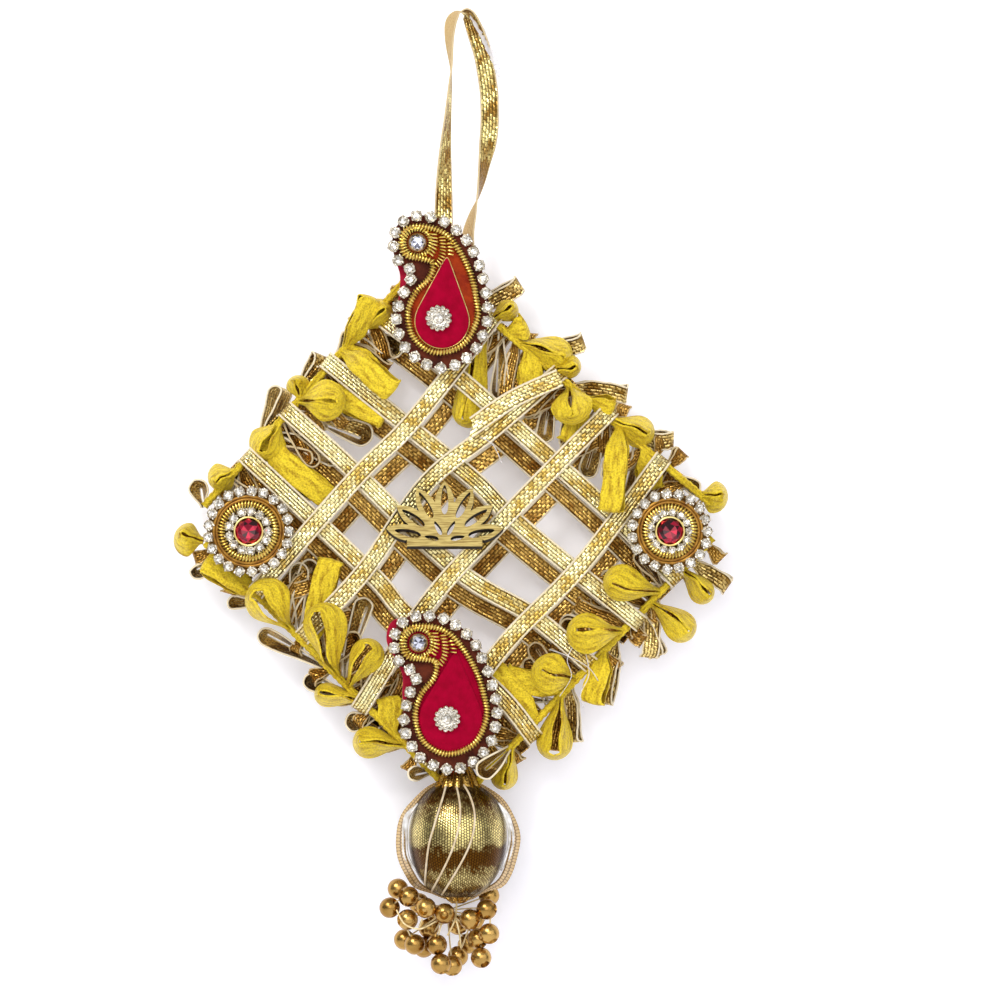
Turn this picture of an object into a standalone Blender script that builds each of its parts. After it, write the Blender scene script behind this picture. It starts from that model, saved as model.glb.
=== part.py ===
"""A shubh labh door hanging as it hangs on a door.

A diamond frame carries a lattice of gota ribbon and a trimming of ribbon loops along each side.
Two paisley patches, two round medallions and a cut ornament sit on its front, and a ribbon-wrapped
ball with a bunch of beads hangs from its lowest corner. The whole hangs from a ribbon loop.

Sizes below are in millimetres and become metres where a mesh is made. +X runs to the right of
someone who faces the hanging, +Y runs away from them and +Z runs up. The origin is the spot
inside the top of the hanging loop that bears on a nail.
"""

import math
from dataclasses import dataclass

import bmesh
import bpy
from mathutils import Vector

MM = 0.001

# Room between neighbouring pieces
CLEAR = 0.3

# Ribbons
GOTA_WIDTH = 4.3
SATIN_WIDTH = 5.6
RIBBON_THICK = 1.0

# Frame
FRAME_LEFT = (-65.8, -122.6)
FRAME_TOP = (-9.6, -59.5)
FRAME_RIGHT = (64.3, -121.4)
FRAME_BOTTOM = (-0.5, -188.6)
CORE_WIDTH = 4.4
CORE_FACE = 3.0
CORE_PARTING = 0.15
CORNER_ROOM = 2.6
BAR_LEVEL = -179.6
BAR_PARTING = 0.3

# Depths of the layers in front of the frame, as the middle of each layer
FRONT_LOWER = -(CORE_FACE + CLEAR + RIBBON_THICK / 2)
FRONT_UPPER = FRONT_LOWER - RIBBON_THICK - CLEAR
FRONT_TAIL = FRONT_UPPER - RIBBON_THICK - CLEAR
SEAT = FRONT_UPPER - RIBBON_THICK / 2 - CLEAR

# Loops
LOOP_ROOT_DEPTH = 1.65
LOOP_ROOT_HALF_WIDTH = 0.8
LOOP_ROOT_HALF_GAP = 0.8
LOOP_SPREAD_LENGTH = 5.0
MIDDLE_REACH = 1.3
TIP_BEND = math.radians(60)

# Strip ends stop short of the middle of the core
STRIP_END_ROOM = 1.7

# Patches and medallions
FELT_THICK = 1.0
BACKING_THICK = 1.1
CHAIN_HEIGHT = 1.6
CHAIN_HALF_WIDTH = 1.2
CHAIN_WAIST = 0.62
MEDALLION_CHAIN_HALF_WIDTH = 0.95
STONE_PITCH = 3.45
COIL_CORD_RADIUS = 0.7
BACKING_MARGIN = 1.4
NOTCH_MARGIN = 0.4

# Ornament
ORNAMENT_MIDDLE = (-4.1, -128.4)
ORNAMENT_HALF_WIDTH = 14.4
ORNAMENT_HEIGHT = 15.6
ORNAMENT_THICK = 2.5
ORNAMENT_FOOT = 1.4
PETALS = 7
PETAL_STEPS = 6
PETAL_NOTCH = 0.64
PETAL_CUP = 0.35

# Ball and beads
BALL_MIDDLE = (-1.4, -2.0, -197.3)
BALL_RADIUS = 12.2
BALL_HALF_HEIGHT = 14.8
BALL_CROWN = 13.3
HOOP_WIDTH = 7.0
HOOP_STAND_OFF = 1.6
HOOP_END_ANGLE = 52.0
BEAD_RADIUS = 2.28
THREAD_RADIUS = 0.4
KNOT_RADIUS = 1.6

FINISHES = {
    "satin": ((0.80, 0.66, 0.05), 0.42, 0.0),
    "gota": ((0.62, 0.48, 0.16), 0.32, 0.8),
    "red_felt": ((0.55, 0.01, 0.05), 0.9, 0.0),
    "brown_felt": ((0.16, 0.05, 0.03), 0.9, 0.0),
    "red_velvet": ((0.60, 0.0, 0.06), 0.8, 0.0),
    "coil_cord": ((0.55, 0.36, 0.08), 0.35, 0.8),
    "clear_stone": ((0.85, 0.86, 0.88), 0.1, 0.3),
    "ruby_stone": ((0.45, 0.0, 0.03), 0.1, 0.1),
    "cut_board": ((0.72, 0.58, 0.28), 0.4, 0.5),
    "mesh_ribbon": ((0.52, 0.37, 0.10), 0.4, 0.7),
    "gold_bead": ((0.50, 0.33, 0.12), 0.25, 0.9),
}


@dataclass
class Loop:
    """One bent ribbon of the trimming.

    at is its place along the side, heading and reach are its direction and length in degrees and
    millimetres, gap is the opening at its near edge, splay is how much wider its far edge opens on
    each side, and roll turns it from edge on (0) to face on (90).
    """

    at: float
    heading: float
    reach: float
    gap: float = 2.0
    splay: float = 0.0
    roll: float = 0.0
    layer: str = "outer"


@dataclass
class Side:
    """One straight side of the frame, from one corner to the next."""

    name: str
    start: tuple
    end: tuple
    satin: tuple
    gota: tuple

    def length(self):
        return math.dist(self.start, self.end)

    def point(self, at):
        share = at / self.length()
        return tuple(a + (b - a) * share for a, b in zip(self.start, self.end))


UPPER_LEFT = Side(
    "upper_left", FRAME_LEFT, FRAME_TOP,
    satin=(
        Loop(17.5, -148, 7.0, splay=2.5),
        Loop(26.5, -40, 21.0, roll=90, layer="middle"),
        Loop(39.8, -3, 11.5, splay=4.0, layer="over"),
        Loop(33.0, -121, 10.0, gap=3.0, splay=3.2),
        Loop(40.5, 93, 5.5, splay=1.8),
        Loop(44.5, -22, 19.0, roll=90, layer="middle"),
        Loop(55.8, -38, 15.5, roll=70, layer="over"),
        Loop(57.8, -50, 10.5, roll=90, layer="middle"),
        Loop(57.0, 66, 13.4, gap=2.5, splay=1.0, roll=50),
        Loop(62.5, 48, 9.2, splay=2.5),
    ),
    gota=(
        Loop(5.5, 98, 7.0, gap=3.0, roll=10),
        Loop(19.0, -118, 9.2, roll=15),
        Loop(21.5, -27, 19.5, layer="middle"),
        Loop(26.5, 68, 14.0, gap=4.0, roll=40),
        Loop(30.0, -24, 18.0, gap=3.6, layer="middle"),
        Loop(36.5, -21, 21.0, gap=4.2, layer="middle"),
        Loop(41.5, 67, 10.7, gap=3.0, roll=60),
        Loop(47.0, -30, 15.5, gap=3.6, layer="middle"),
        Loop(53.5, 60, 7.8, gap=1.8, roll=15),
        Loop(61.5, -24, 11.5, gap=3.6, layer="middle"),
    ),
)

UPPER_RIGHT = Side(
    "upper_right", FRAME_TOP, FRAME_RIGHT,
    satin=(
        Loop(19.5, -100, 27.5, splay=3.0, layer="middle"),
        Loop(21.5, 28, 7.0, splay=1.5),
        Loop(26.5, 24, 5.0, splay=1.0, roll=60),
        Loop(30.0, -22, 13.5, splay=3.4),
        Loop(33.0, -84, 11.0, roll=90, layer="middle"),
        Loop(40.5, 18, 7.0, splay=1.8),
        Loop(46.0, -78, 9.5, splay=4.0, layer="over"),
        Loop(51.5, -20, 6.5, roll=60),
        Loop(51.5, -112, 11.0, roll=90, layer="middle"),
        Loop(58.5, -22, 11.5, splay=2.8),
        Loop(62.0, -97, 20.0, roll=65, layer="over"),
        Loop(69.5, -80, 9.8, roll=90, layer="middle"),
        Loop(87.0, -12, 6.6, splay=2.8),
    ),
    gota=(
        Loop(18.0, 33, 11.6, roll=80),
        Loop(24.5, -92, 17.5, gap=2.6, layer="middle"),
        Loop(29.0, -86, 14.4, gap=3.0, layer="middle"),
        Loop(35.5, 19, 12.2, roll=70),
        Loop(41.5, -98, 17.0, gap=2.6, layer="middle"),
        Loop(45.5, -90, 16.0, gap=2.6, layer="middle"),
        Loop(46.5, -8, 13.7, gap=2.2, roll=80),
        Loop(56.5, -106, 16.0, gap=2.8, layer="middle"),
        Loop(60.5, -94, 14.5, gap=2.4, layer="middle"),
        Loop(66.5, -1, 9.4, gap=2.2, roll=80),
        Loop(67.0, -106, 17.0, gap=2.8, layer="middle"),
        Loop(71.5, -104, 12.5, gap=2.6, layer="middle"),
        Loop(79.5, -40, 7.0, gap=2.0, roll=10),
    ),
)

LOWER_RIGHT = Side(
    "lower_right", FRAME_RIGHT, FRAME_BOTTOM,
    satin=(
        Loop(16.5, -52, 10.0, splay=2.0),
        Loop(24.0, 166, 14.0, splay=3.4, layer="over"),
        Loop(27.5, -42, 13.0, splay=2.8),
        Loop(37.0, -178, 13.5, splay=3.9, layer="over"),
        Loop(43.5, -102, 12.7, roll=60),
        Loop(53.0, 165, 11.0, splay=4.0, layer="over"),
        Loop(57.0, 166, 14.5, roll=90, layer="middle"),
        Loop(58.5, -97, 15.5, gap=3.2, splay=2.8),
        Loop(66.5, 132, 19.0, roll=90, layer="middle"),
        Loop(75.5, -106, 10.5, splay=2.2),
    ),
    gota=(
        Loop(13.5, -35, 11.0, gap=2.2, roll=80),
        Loop(25.5, -96, 14.8, gap=2.2, roll=80),
        Loop(30.5, -70, 11.5, roll=60),
        Loop(22.5, 168, 15.5, gap=2.8, layer="middle"),
        Loop(37.5, 168, 15.0, gap=2.8, layer="middle"),
        Loop(39.5, -99, 16.0, gap=2.2, roll=70),
        Loop(55.5, -85, 13.5, gap=2.2, roll=60),
        Loop(60.5, 168, 13.0, gap=2.6, layer="middle"),
        Loop(64.5, 172, 9.5, gap=2.0, layer="middle"),
        Loop(75.0, -152, 11.0, gap=4.2),
    ),
)

LOWER_LEFT = Side(
    "lower_left", FRAME_BOTTOM, FRAME_LEFT,
    satin=(
        Loop(18.5, 177, 12.6, splay=2.8),
        Loop(22.5, 100, 8.6, roll=90, layer="middle"),
        Loop(33.5, 172, 11.3, splay=1.8),
        Loop(38.2, 58, 13.0, gap=2.4, splay=2.3, layer="over"),
        Loop(41.5, 102, 18.2, gap=3.0, splay=3.2, layer="over"),
        Loop(51.5, 76, 21.5, roll=90, layer="middle"),
        Loop(57.5, 127, 14.2, gap=3.3, splay=3.3, layer="over"),
        Loop(69.0, 146, 14.7, roll=70),
        Loop(87.5, 172, 7.0, splay=3.0),
    ),
    gota=(
        Loop(14.5, -175, 7.5, gap=2.5),
        Loop(20.5, 146, 12.1, gap=2.0, roll=10),
        Loop(28.0, -170, 8.0, gap=3.0),
        Loop(35.0, 159, 13.5, gap=2.4),
        Loop(39.5, 72, 21.0, gap=2.8, layer="middle"),
        Loop(43.0, 152, 20.5, gap=2.6),
        Loop(43.5, 90, 17.0, gap=2.4, layer="middle"),
        Loop(55.5, 90, 17.5, gap=2.8, layer="middle"),
        Loop(58.5, 68, 17.0, gap=2.4, layer="middle"),
        Loop(67.5, -178, 8.4, gap=1.8, roll=20),
        Loop(81.0, -157, 8.5, gap=1.8, roll=20),
    ),
)

SIDES = (UPPER_LEFT, UPPER_RIGHT, LOWER_RIGHT, LOWER_LEFT)

# Where the front ribbons run, from end to end, as (x, z)
UPPER_RIBBONS = {
    "front_upper_1": ((6.6, -74.0), (-3.0, -86.8), (-13.9, -100.1), (-25.4, -111.4), (-48.4, -137.6)),
    "front_upper_2": ((22.2, -87.0), (6.9, -100.2), (-8.4, -112.6), (-23.2, -133.4), (-37.2, -148.4)),
    "front_upper_3": ((34.4, -96.3), (9.8, -121.4), (-8.4, -141.6), (-23.6, -165.2)),
    "front_upper_4": ((47.0, -108.2), (28.3, -132.5), (9.1, -152.6), (-8.6, -178.0)),
}
LOWER_RIBBONS = {
    "front_lower_1": ((-31.0, -84.4), (-14.9, -97.4), (2.9, -111.8), (13.9, -122.6), (41.3, -145.0)),
    "front_lower_2": ((-40.8, -96.2), (-26.9, -108.7), (-1.0, -133.4), (16.8, -144.2), (29.6, -155.0)),
    "front_lower_3": ((-50.4, -107.2), (-22.1, -133.9), (-13.0, -144.2), (7.9, -162.2), (16.4, -172.2)),
    "front_lower_4": ((-16.8, -74.8), (-2.4, -85.9), (21.1, -106.6), (37.4, -121.4), (50.4, -134.6)),
}
TAIL_RIBBON = ((18.2, -89.6), (12.0, -92.6), (2.4, -99.2))
BACK_SHIFT_UPPER = (3.2, -3.2)
BACK_SHIFT_LOWER = (-3.2, -3.2)

# Hanging loop, as (x, z, depth, twist)
HANGING_LOOP = (
    (-4.3, -66.0, -3.8, 0),
    (-4.3, -59.5, -3.8, 0),
    (-4.3, -50.4, -2.2, 0),
    (-4.3, -40.3, -0.8, 0),
    (-4.1, -32.4, 0.0, 0),
    (-3.4, -24.5, 0.0, 20),
    (-2.6, -16.6, 0.0, 60),
    (-2.5, -12.5, 0.0, 80),
    (-3.1, -6.5, 0.0, 60),
    (-2.7, -2.2, 0.0, 75),
    (-1.5, -0.1, 0.0, 85),
    (0.0, 0.5, 0.0, 90),
    (1.5, -0.3, 0.0, 85),
    (3.3, -5.3, 0.0, 55),
    (5.0, -10.6, 0.0, 30),
    (6.2, -18.2, 0.0, 0),
    (6.5, -24.5, 0.0, 0),
    (6.2, -30.5, 0.0, 0),
    (5.5, -35.0, 0.0, 20),
    (4.6, -40.3, 0.0, 50),
    (3.5, -44.6, -0.8, 80),
    (2.4, -48.5, -1.8, 50),
    (1.5, -53.0, -3.0, 15),
    (1.2, -59.5, -3.8, 0),
    (1.2, -70.2, -3.8, 0),
)

# Paisley patch about the middle of its round crystal, as (x, z)
CHAIN_ROUTE = (
    (-5.4, 24.0), (1.1, 22.8), (7.1, 17.5), (10.6, 8.5), (11.4, -1.0), (7.4, -9.2),
    (0.2, -12.1), (-7.3, -8.3), (-10.2, -0.6), (-8.0, 7.0), (-6.1, 10.6), (-9.6, 13.2),
    (-10.9, 17.8), (-9.4, 22.2),
)
FELT_ROUTE = (
    (-5.4, 24.0), (1.1, 22.8), (7.1, 17.5), (10.6, 8.5), (11.4, -1.0), (7.4, -9.2),
    (0.2, -12.1), (-7.3, -8.3), (-10.6, -0.6), (-11.4, 6.0), (-12.6, 11.0), (-12.2, 17.8),
    (-9.9, 22.4),
)
CORD_ROUTE = (
    (-5.2, 21.6), (-0.8, 20.6), (3.2, 17.6), (6.2, 12.6), (8.4, 5.6), (8.6, -2.0),
    (4.9, -7.2), (-0.9, -8.4), (-6.0, -5.0), (-7.4, 0.8), (-5.6, 5.8), (-2.3, 9.4),
    (-1.5, 13.0), (-4.4, 14.0), (-8.0, 14.9), (-9.0, 18.0), (-8.0, 20.6),
)
DROP_MIDDLE = (0.7, -0.2)
DROP_RADIUS = 6.3
DROP_TIP = (2.0, 14.0)
CRYSTAL_RADIUS = 3.05
SMALL_CRYSTAL = (-5.2, 17.8)
SMALL_CRYSTAL_RADIUS = 2.15

# Where each patch sits: middle of its round crystal, turn in degrees, and scale
PATCHES = {
    "top_patch": ((-5.4, -73.0), 0.0, 1.0),
    "bottom_patch": ((-3.4, -168.5), 5.0, 1.03),
}

# Where each medallion sits, with its outer radius
MEDALLIONS = {
    "left_medallion": ((-50.9, -124.1), 11.0),
    "right_medallion": ((49.7, -124.1), 10.3),
}

# Beads of the bunch, as (x, depth, z), strand by strand from the knot outwards
KNOT_PLACE = (-3.6, 0.5, -215.6)
BEAD_STRANDS = (
    ((-12.7, -4.0, -211.6), (-17.3, -3.0, -214.3)),
    ((-15.4, 1.0, -210.0),),
    ((-13.0, -5.0, -217.0), (-11.3, -4.0, -223.0)),
    ((-13.9, 1.0, -222.2),),
    ((-8.6, -8.2, -214.0),),
    ((-4.1, -7.6, -215.4), (-6.0, -5.0, -223.0), (-5.0, -6.5, -227.5)),
    ((-2.4, -2.5, -228.2),),
    ((1.9, -5.6, -216.9), (-1.0, 1.7, -226.3)),
    ((3.8, -2.0, -221.8), (4.6, -4.0, -226.2)),
    ((5.9, -4.8, -214.6), (6.5, -6.0, -220.3)),
    ((6.5, 5.2, -211.9),),
)


# Meshes

def clear_scene():
    """Takes every object out of the scene."""
    for item in list(bpy.data.objects):
        bpy.data.objects.remove(item, do_unlink=True)


def finish_material(finish):
    """The Principled material of one finish, made once."""
    found = bpy.data.materials.get(finish)
    if found:
        return found
    colour, roughness, metallic = FINISHES[finish]
    material = bpy.data.materials.new(finish)
    material.use_nodes = True
    shader = material.node_tree.nodes["Principled BSDF"]
    shader.inputs["Base Color"].default_value = (*colour, 1.0)
    shader.inputs["Roughness"].default_value = roughness
    shader.inputs["Metallic"].default_value = metallic
    return material


def mesh_object(name, bm, finish, smooth=False):
    """Makes a named object of a bmesh that is in millimetres."""
    bmesh.ops.triangulate(bm, faces=bm.faces[:])
    bmesh.ops.recalc_face_normals(bm, faces=bm.faces[:])
    bmesh.ops.scale(bm, vec=(MM, MM, MM), verts=bm.verts[:])
    mesh = bpy.data.meshes.new(name)
    bm.to_mesh(mesh)
    bm.free()
    mesh.materials.append(finish_material(finish))
    if smooth:
        mesh.shade_smooth()
        mesh.set_sharp_from_angle(angle=math.radians(40))
    piece = bpy.data.objects.new(name, mesh)
    bpy.context.scene.collection.objects.link(piece)
    return piece


def loft(sections, closed=False):
    """A skin through cross-sections of equal point counts, capped unless it closes on itself."""
    bm = bmesh.new()
    rings = [[bm.verts.new(point) for point in section] for section in sections]
    count = len(rings[0])
    pairs = list(zip(rings, rings[1:]))
    if closed:
        pairs.append((rings[-1], rings[0]))
    for first, second in pairs:
        for index in range(count):
            after = (index + 1) % count
            bm.faces.new((first[index], first[after], second[after], second[index]))
    if not closed:
        bm.faces.new(rings[0])
        bm.faces.new(rings[-1])
    return bm


def smooth_route(points, steps, closed=False):
    """Points on a Catmull-Rom curve through the given ones, of any dimension."""
    count = len(points)
    spans = count if closed else count - 1
    route = []
    for span in range(spans):
        if closed:
            around = [Vector(points[(span + shift) % count]) for shift in (-1, 0, 1, 2)]
        else:
            around = [Vector(points[min(max(span + shift, 0), count - 1)]) for shift in (-1, 0, 1, 2)]
        before, here, there, after = around
        for step in range(steps):
            t = step / steps
            route.append(0.5 * (
                2 * here
                + (there - before) * t
                + (2 * before - 5 * here + 4 * there - after) * t * t
                + (3 * here - 3 * there + after - before) * t * t * t
            ))
    if not closed:
        route.append(Vector(points[-1]))
    return route


def even_route(points, count):
    """Points at equal distances on a closed curve in the picture plane."""
    fine = smooth_route(points, 12, closed=True)
    fine.append(fine[0])
    lengths = [0.0]
    for first, second in zip(fine, fine[1:]):
        lengths.append(lengths[-1] + (second - first).length)
    route = []
    span = 0
    for index in range(count):
        target = lengths[-1] * index / count
        while lengths[span + 1] < target:
            span += 1
        share = (target - lengths[span]) / (lengths[span + 1] - lengths[span])
        route.append(fine[span].lerp(fine[span + 1], share))
    return route


def flat_normals(route, closed=False):
    """Unit normals, in the picture plane, of a route of (x, z) points."""
    normals = []
    last = len(route) - 1
    for index in range(len(route)):
        if closed:
            run = route[(index + 1) % len(route)] - route[index - 1]
        else:
            run = route[min(index + 1, last)] - route[max(index - 1, 0)]
        normals.append(Vector((-run[1], run[0])).normalized())
    return normals


def smooth_step(share):
    """Eases from 0 to 1 as share does."""
    share = min(max(share, 0.0), 1.0)
    return share * share * (3 - 2 * share)


def slab(outline, front, back):
    """A flat piece of the given outline of (x, z) points, between two depths."""
    return loft([[(x, depth, z) for x, z in outline] for depth in (front, back)])


def lathe(profile, middle, steps):
    """A turned piece about a vertical axis, from (radius, height) points, bottom to top."""
    x, y, z = middle
    sections = []
    for radius, height in profile:
        ring = []
        for step in range(steps):
            angle = 2 * math.pi * step / steps
            ring.append((x + radius * math.cos(angle), y + radius * math.sin(angle), z + height))
        sections.append(ring)
    return loft(sections)


def dome(middle, outline, back, height, rings=3):
    """A domed piece whose rim is a flat outline round its middle; its back is flat."""
    bm = bmesh.new()
    rows = [[bm.verts.new((x, back, z)) for x, z in outline]]
    for row in range(rings):
        angle = math.pi / 2 * row / rings
        spread = math.cos(angle * 0.9)
        depth = back - height * (0.35 + 0.65 * math.sin(angle))
        rows.append([
            bm.verts.new((middle[0] + (x - middle[0]) * spread, depth, middle[1] + (z - middle[1]) * spread))
            for x, z in outline
        ])
    count = len(outline)
    for first, second in zip(rows, rows[1:]):
        for index in range(count):
            after = (index + 1) % count
            bm.faces.new((first[index], first[after], second[after], second[index]))
    crown = bm.verts.new((middle[0], back - height, middle[1]))
    for index in range(count):
        bm.faces.new((rows[-1][index], rows[-1][(index + 1) % count], crown))
    bm.faces.new(rows[0])
    return bm


def circle(middle, radius, steps):
    """Points of a circle in the picture plane."""
    turn = 2 * math.pi / steps
    return [
        (middle[0] + radius * math.cos(turn * step), middle[1] + radius * math.sin(turn * step))
        for step in range(steps)
    ]


def union(target, helpers):
    """Fuses helper pieces into a target and hides them as its operands."""
    operands = bpy.data.collections.new(target.name + "_parts")
    bpy.context.scene.collection.children.link(operands)
    for helper in helpers:
        for home in list(helper.users_collection):
            home.objects.unlink(helper)
        operands.objects.link(helper)
        helper.hide_render = True
        helper.display_type = "WIRE"
    fuse = target.modifiers.new("fuse", "BOOLEAN")
    fuse.operation = "UNION"
    fuse.solver = "EXACT"
    fuse.operand_type = "COLLECTION"
    fuse.collection = operands


# Trimming

def loop_stations(reach, gap):
    """Places on a loop's near edge: share of the way to its tip, and offset to the side."""
    tip_radius = gap / 2
    neck = max(reach - tip_radius, 0.5 * reach)
    half = [(share * neck, LOOP_ROOT_HALF_GAP + (tip_radius - LOOP_ROOT_HALF_GAP) * smooth_step(share))
            for share in (0.0, 0.5, 1.0)]
    half.append((neck + (reach - neck) * math.sin(TIP_BEND), tip_radius * math.cos(TIP_BEND)))
    return half + [(along, -offset) for along, offset in reversed(half)]


def loop_normals(stations):
    """Unit normals of a loop's edge, pointing out of the loop."""
    normals = []
    last = len(stations) - 1
    for index in range(len(stations)):
        first = Vector(stations[max(index - 1, 0)])
        second = Vector(stations[min(index + 1, last)])
        run = (second - first).normalized()
        normals.append(Vector((-run[1], run[0])))
    return normals


def loop_mesh(loop, side, width, root_depth):
    """One ribbon loop, gathered at its root and spread past it."""
    roll = math.radians(loop.roll)
    rise = math.sqrt(max(width ** 2 - loop.splay ** 2, 1.0)) / 2
    if loop.layer == "middle" and loop.roll == 0:
        rise = MIDDLE_REACH
    stand = rise * math.cos(roll) + (loop.gap / 2 + loop.splay + RIBBON_THICK / 2) * math.sin(roll)
    back_side = math.copysign(1.0, root_depth)
    depths = {
        "outer": back_side * (CORE_PARTING + stand),
        "middle": root_depth,
        "over": SEAT - CLEAR - stand,
    }
    near = loop_stations(loop.reach - 0.5 * loop.splay, loop.gap)
    far = loop_stations(loop.reach, loop.gap + 2 * loop.splay)
    near_normals = loop_normals(near)
    far_normals = loop_normals(far)
    angle = math.radians(loop.heading)
    ahead = Vector((math.cos(angle), 0, math.sin(angle)))
    across = Vector((-math.sin(angle), 0, math.cos(angle)))
    behind = Vector((0, 1, 0))
    opening = across * math.cos(roll) + behind * math.sin(roll)
    breadth = behind * math.cos(roll) - across * math.sin(roll)
    foot = side.point(loop.at)
    root = Vector((foot[0], 0, foot[1]))
    sections = []
    for index, (station, wide) in enumerate(zip(near, far)):
        ease = smooth_step(station[0] / LOOP_SPREAD_LENGTH)
        middle_depth = root_depth + (depths[loop.layer] - root_depth) * ease
        half = LOOP_ROOT_HALF_WIDTH + (rise - LOOP_ROOT_HALF_WIDTH) * ease
        edges = []
        for place, normal, shift in ((station, near_normals[index], -half), (wide, far_normals[index], half)):
            for thick in (RIBBON_THICK / 2, -RIBBON_THICK / 2):
                along = place[0] + normal[0] * thick
                offset = place[1] + normal[1] * thick
                point = root + ahead * along + opening * offset + breadth * shift
                edges.append(point + behind * middle_depth)
        sections.append((edges[0], edges[1], edges[3], edges[2]))
    return loft(sections)


def core_route(side):
    """The middle line of one side's core, bent level where it meets the other at the lowest corner."""
    ends = CORNER_ROOM, side.length() - CORNER_ROOM
    if side is LOWER_RIGHT:
        return [side.point(ends[0]), side.point(side.length() - 13.0), (BAR_PARTING / 2, BAR_LEVEL)]
    if side is LOWER_LEFT:
        return [(-1.0 - BAR_PARTING / 2, BAR_LEVEL), side.point(12.6), side.point(ends[1])]
    return [side.point(ends[0]), side.point(ends[1])]


def core_mesh(side, near, far):
    """Half of a side's core, the strip that its loops are sewn to."""
    route = [Vector(point) for point in core_route(side)]
    sections = []
    for point, normal in zip(route, flat_normals(route)):
        left = point + normal * CORE_WIDTH / 2
        right = point - normal * CORE_WIDTH / 2
        sections.append([
            (left[0], near, left[1]), (left[0], far, left[1]),
            (right[0], far, right[1]), (right[0], near, right[1]),
        ])
    return loft(sections)


def build_trimming(side):
    """The satin and the gota trimming of one side, each fused to its own half of the core."""
    halves = (
        ("satin", side.satin, SATIN_WIDTH, -LOOP_ROOT_DEPTH, -CORE_FACE, -CORE_PARTING),
        ("gota", side.gota, GOTA_WIDTH, LOOP_ROOT_DEPTH, CORE_PARTING, CORE_FACE),
    )
    for finish, loops, width, root_depth, near, far in halves:
        name = f"{side.name}_{finish}_trim"
        core = mesh_object(name, core_mesh(side, near, far), finish)
        helpers = [
            mesh_object(f"{name}_loop_{number}", loop_mesh(loop, side, width, root_depth), finish)
            for number, loop in enumerate(loops, 1)
        ]
        union(core, helpers)


# Lattice

def strip_mesh(points, depth, end_depth, width=GOTA_WIDTH):
    """A flat ribbon along a route, its ends drawn in to the frame."""
    route = smooth_route(points, 1 if depth == end_depth else 2)
    for end, inner in ((0, 1), (-1, -2)):
        route[end] = route[end] + (route[inner] - route[end]).normalized() * STRIP_END_ROOM
    last = len(route) - 1
    sections = []
    for index, (point, normal) in enumerate(zip(route, flat_normals(route))):
        left = point + normal * width / 2
        right = point - normal * width / 2
        middle = end_depth if index in (0, last) else depth
        near = middle - RIBBON_THICK / 2
        far = middle + RIBBON_THICK / 2
        sections.append([
            (left[0], near, left[1]), (left[0], far, left[1]),
            (right[0], far, right[1]), (right[0], near, right[1]),
        ])
    return loft(sections)


def build_lattice():
    """The front ribbons in two crossing layers, the same behind them, and the loose tail."""
    for name, points in LOWER_RIBBONS.items():
        mesh_object(name, strip_mesh(points, FRONT_LOWER, FRONT_LOWER), "gota")
        shifted = [(x + BACK_SHIFT_LOWER[0], z + BACK_SHIFT_LOWER[1]) for x, z in points]
        mesh_object(name.replace("front", "back"), strip_mesh(shifted, -FRONT_LOWER, -FRONT_LOWER), "gota")
    for name, points in UPPER_RIBBONS.items():
        mesh_object(name, strip_mesh(points, FRONT_UPPER, FRONT_LOWER), "gota")
        shifted = [(x + BACK_SHIFT_UPPER[0], z + BACK_SHIFT_UPPER[1]) for x, z in points]
        mesh_object(name.replace("front", "back"), strip_mesh(shifted, -FRONT_UPPER, -FRONT_LOWER), "gota")
    mesh_object("front_tail", strip_mesh(TAIL_RIBBON, FRONT_TAIL, FRONT_TAIL), "gota")


# Hanging loop

def build_hanging_loop():
    """The ribbon that the hanging hangs from, turning edge on where it twists."""
    route = smooth_route(HANGING_LOOP, 1)
    last = len(route) - 1
    sections = []
    for index, (x, z, depth, twist) in enumerate(route):
        before = route[max(index - 1, 0)]
        after = route[min(index + 1, last)]
        run = Vector((after[0] - before[0], 0, after[1] - before[1])).normalized()
        flat = Vector((-run[2], 0, run[0]))
        turn = math.radians(twist)
        breadth = flat * math.cos(turn) + Vector((0, 1, 0)) * math.sin(turn)
        thick = run.cross(breadth)
        middle = Vector((x, depth, z))
        sections.append([
            middle + breadth * GOTA_WIDTH / 2 + thick * RIBBON_THICK / 2,
            middle - breadth * GOTA_WIDTH / 2 + thick * RIBBON_THICK / 2,
            middle - breadth * GOTA_WIDTH / 2 - thick * RIBBON_THICK / 2,
            middle + breadth * GOTA_WIDTH / 2 - thick * RIBBON_THICK / 2,
        ])
    mesh_object("hanging_loop", loft(sections), "gota")


# Patches and medallions

def chain_mesh(route, seat, half_width=CHAIN_HALF_WIDTH):
    """A closed chain of set stones: a ridged band that is wide and high at each stone."""
    sections = []
    for index, (point, normal) in enumerate(zip(route, flat_normals(route, closed=True))):
        share = 1.0 if index % 2 == 0 else CHAIN_WAIST
        outer = point + normal * half_width * share
        inner = point - normal * half_width * share
        sections.append([
            (outer[0], seat, outer[1]), (inner[0], seat, inner[1]),
            (point[0], seat - CHAIN_HEIGHT * share, point[1]),
        ])
    return loft(sections, closed=True)


def cord_mesh(route, seat, radius, sides=5):
    """A closed round cord that lies on its seat."""
    sections = []
    for point, normal in zip(route, flat_normals(route, closed=True)):
        ring = []
        for step in range(sides):
            angle = 2 * math.pi * (step + 0.5) / sides
            out = radius * math.cos(angle)
            ring.append((
                point[0] + normal[0] * out,
                seat - radius + radius * math.sin(angle),
                point[1] + normal[1] * out,
            ))
        sections.append(ring)
    return loft(sections, closed=True)


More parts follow.
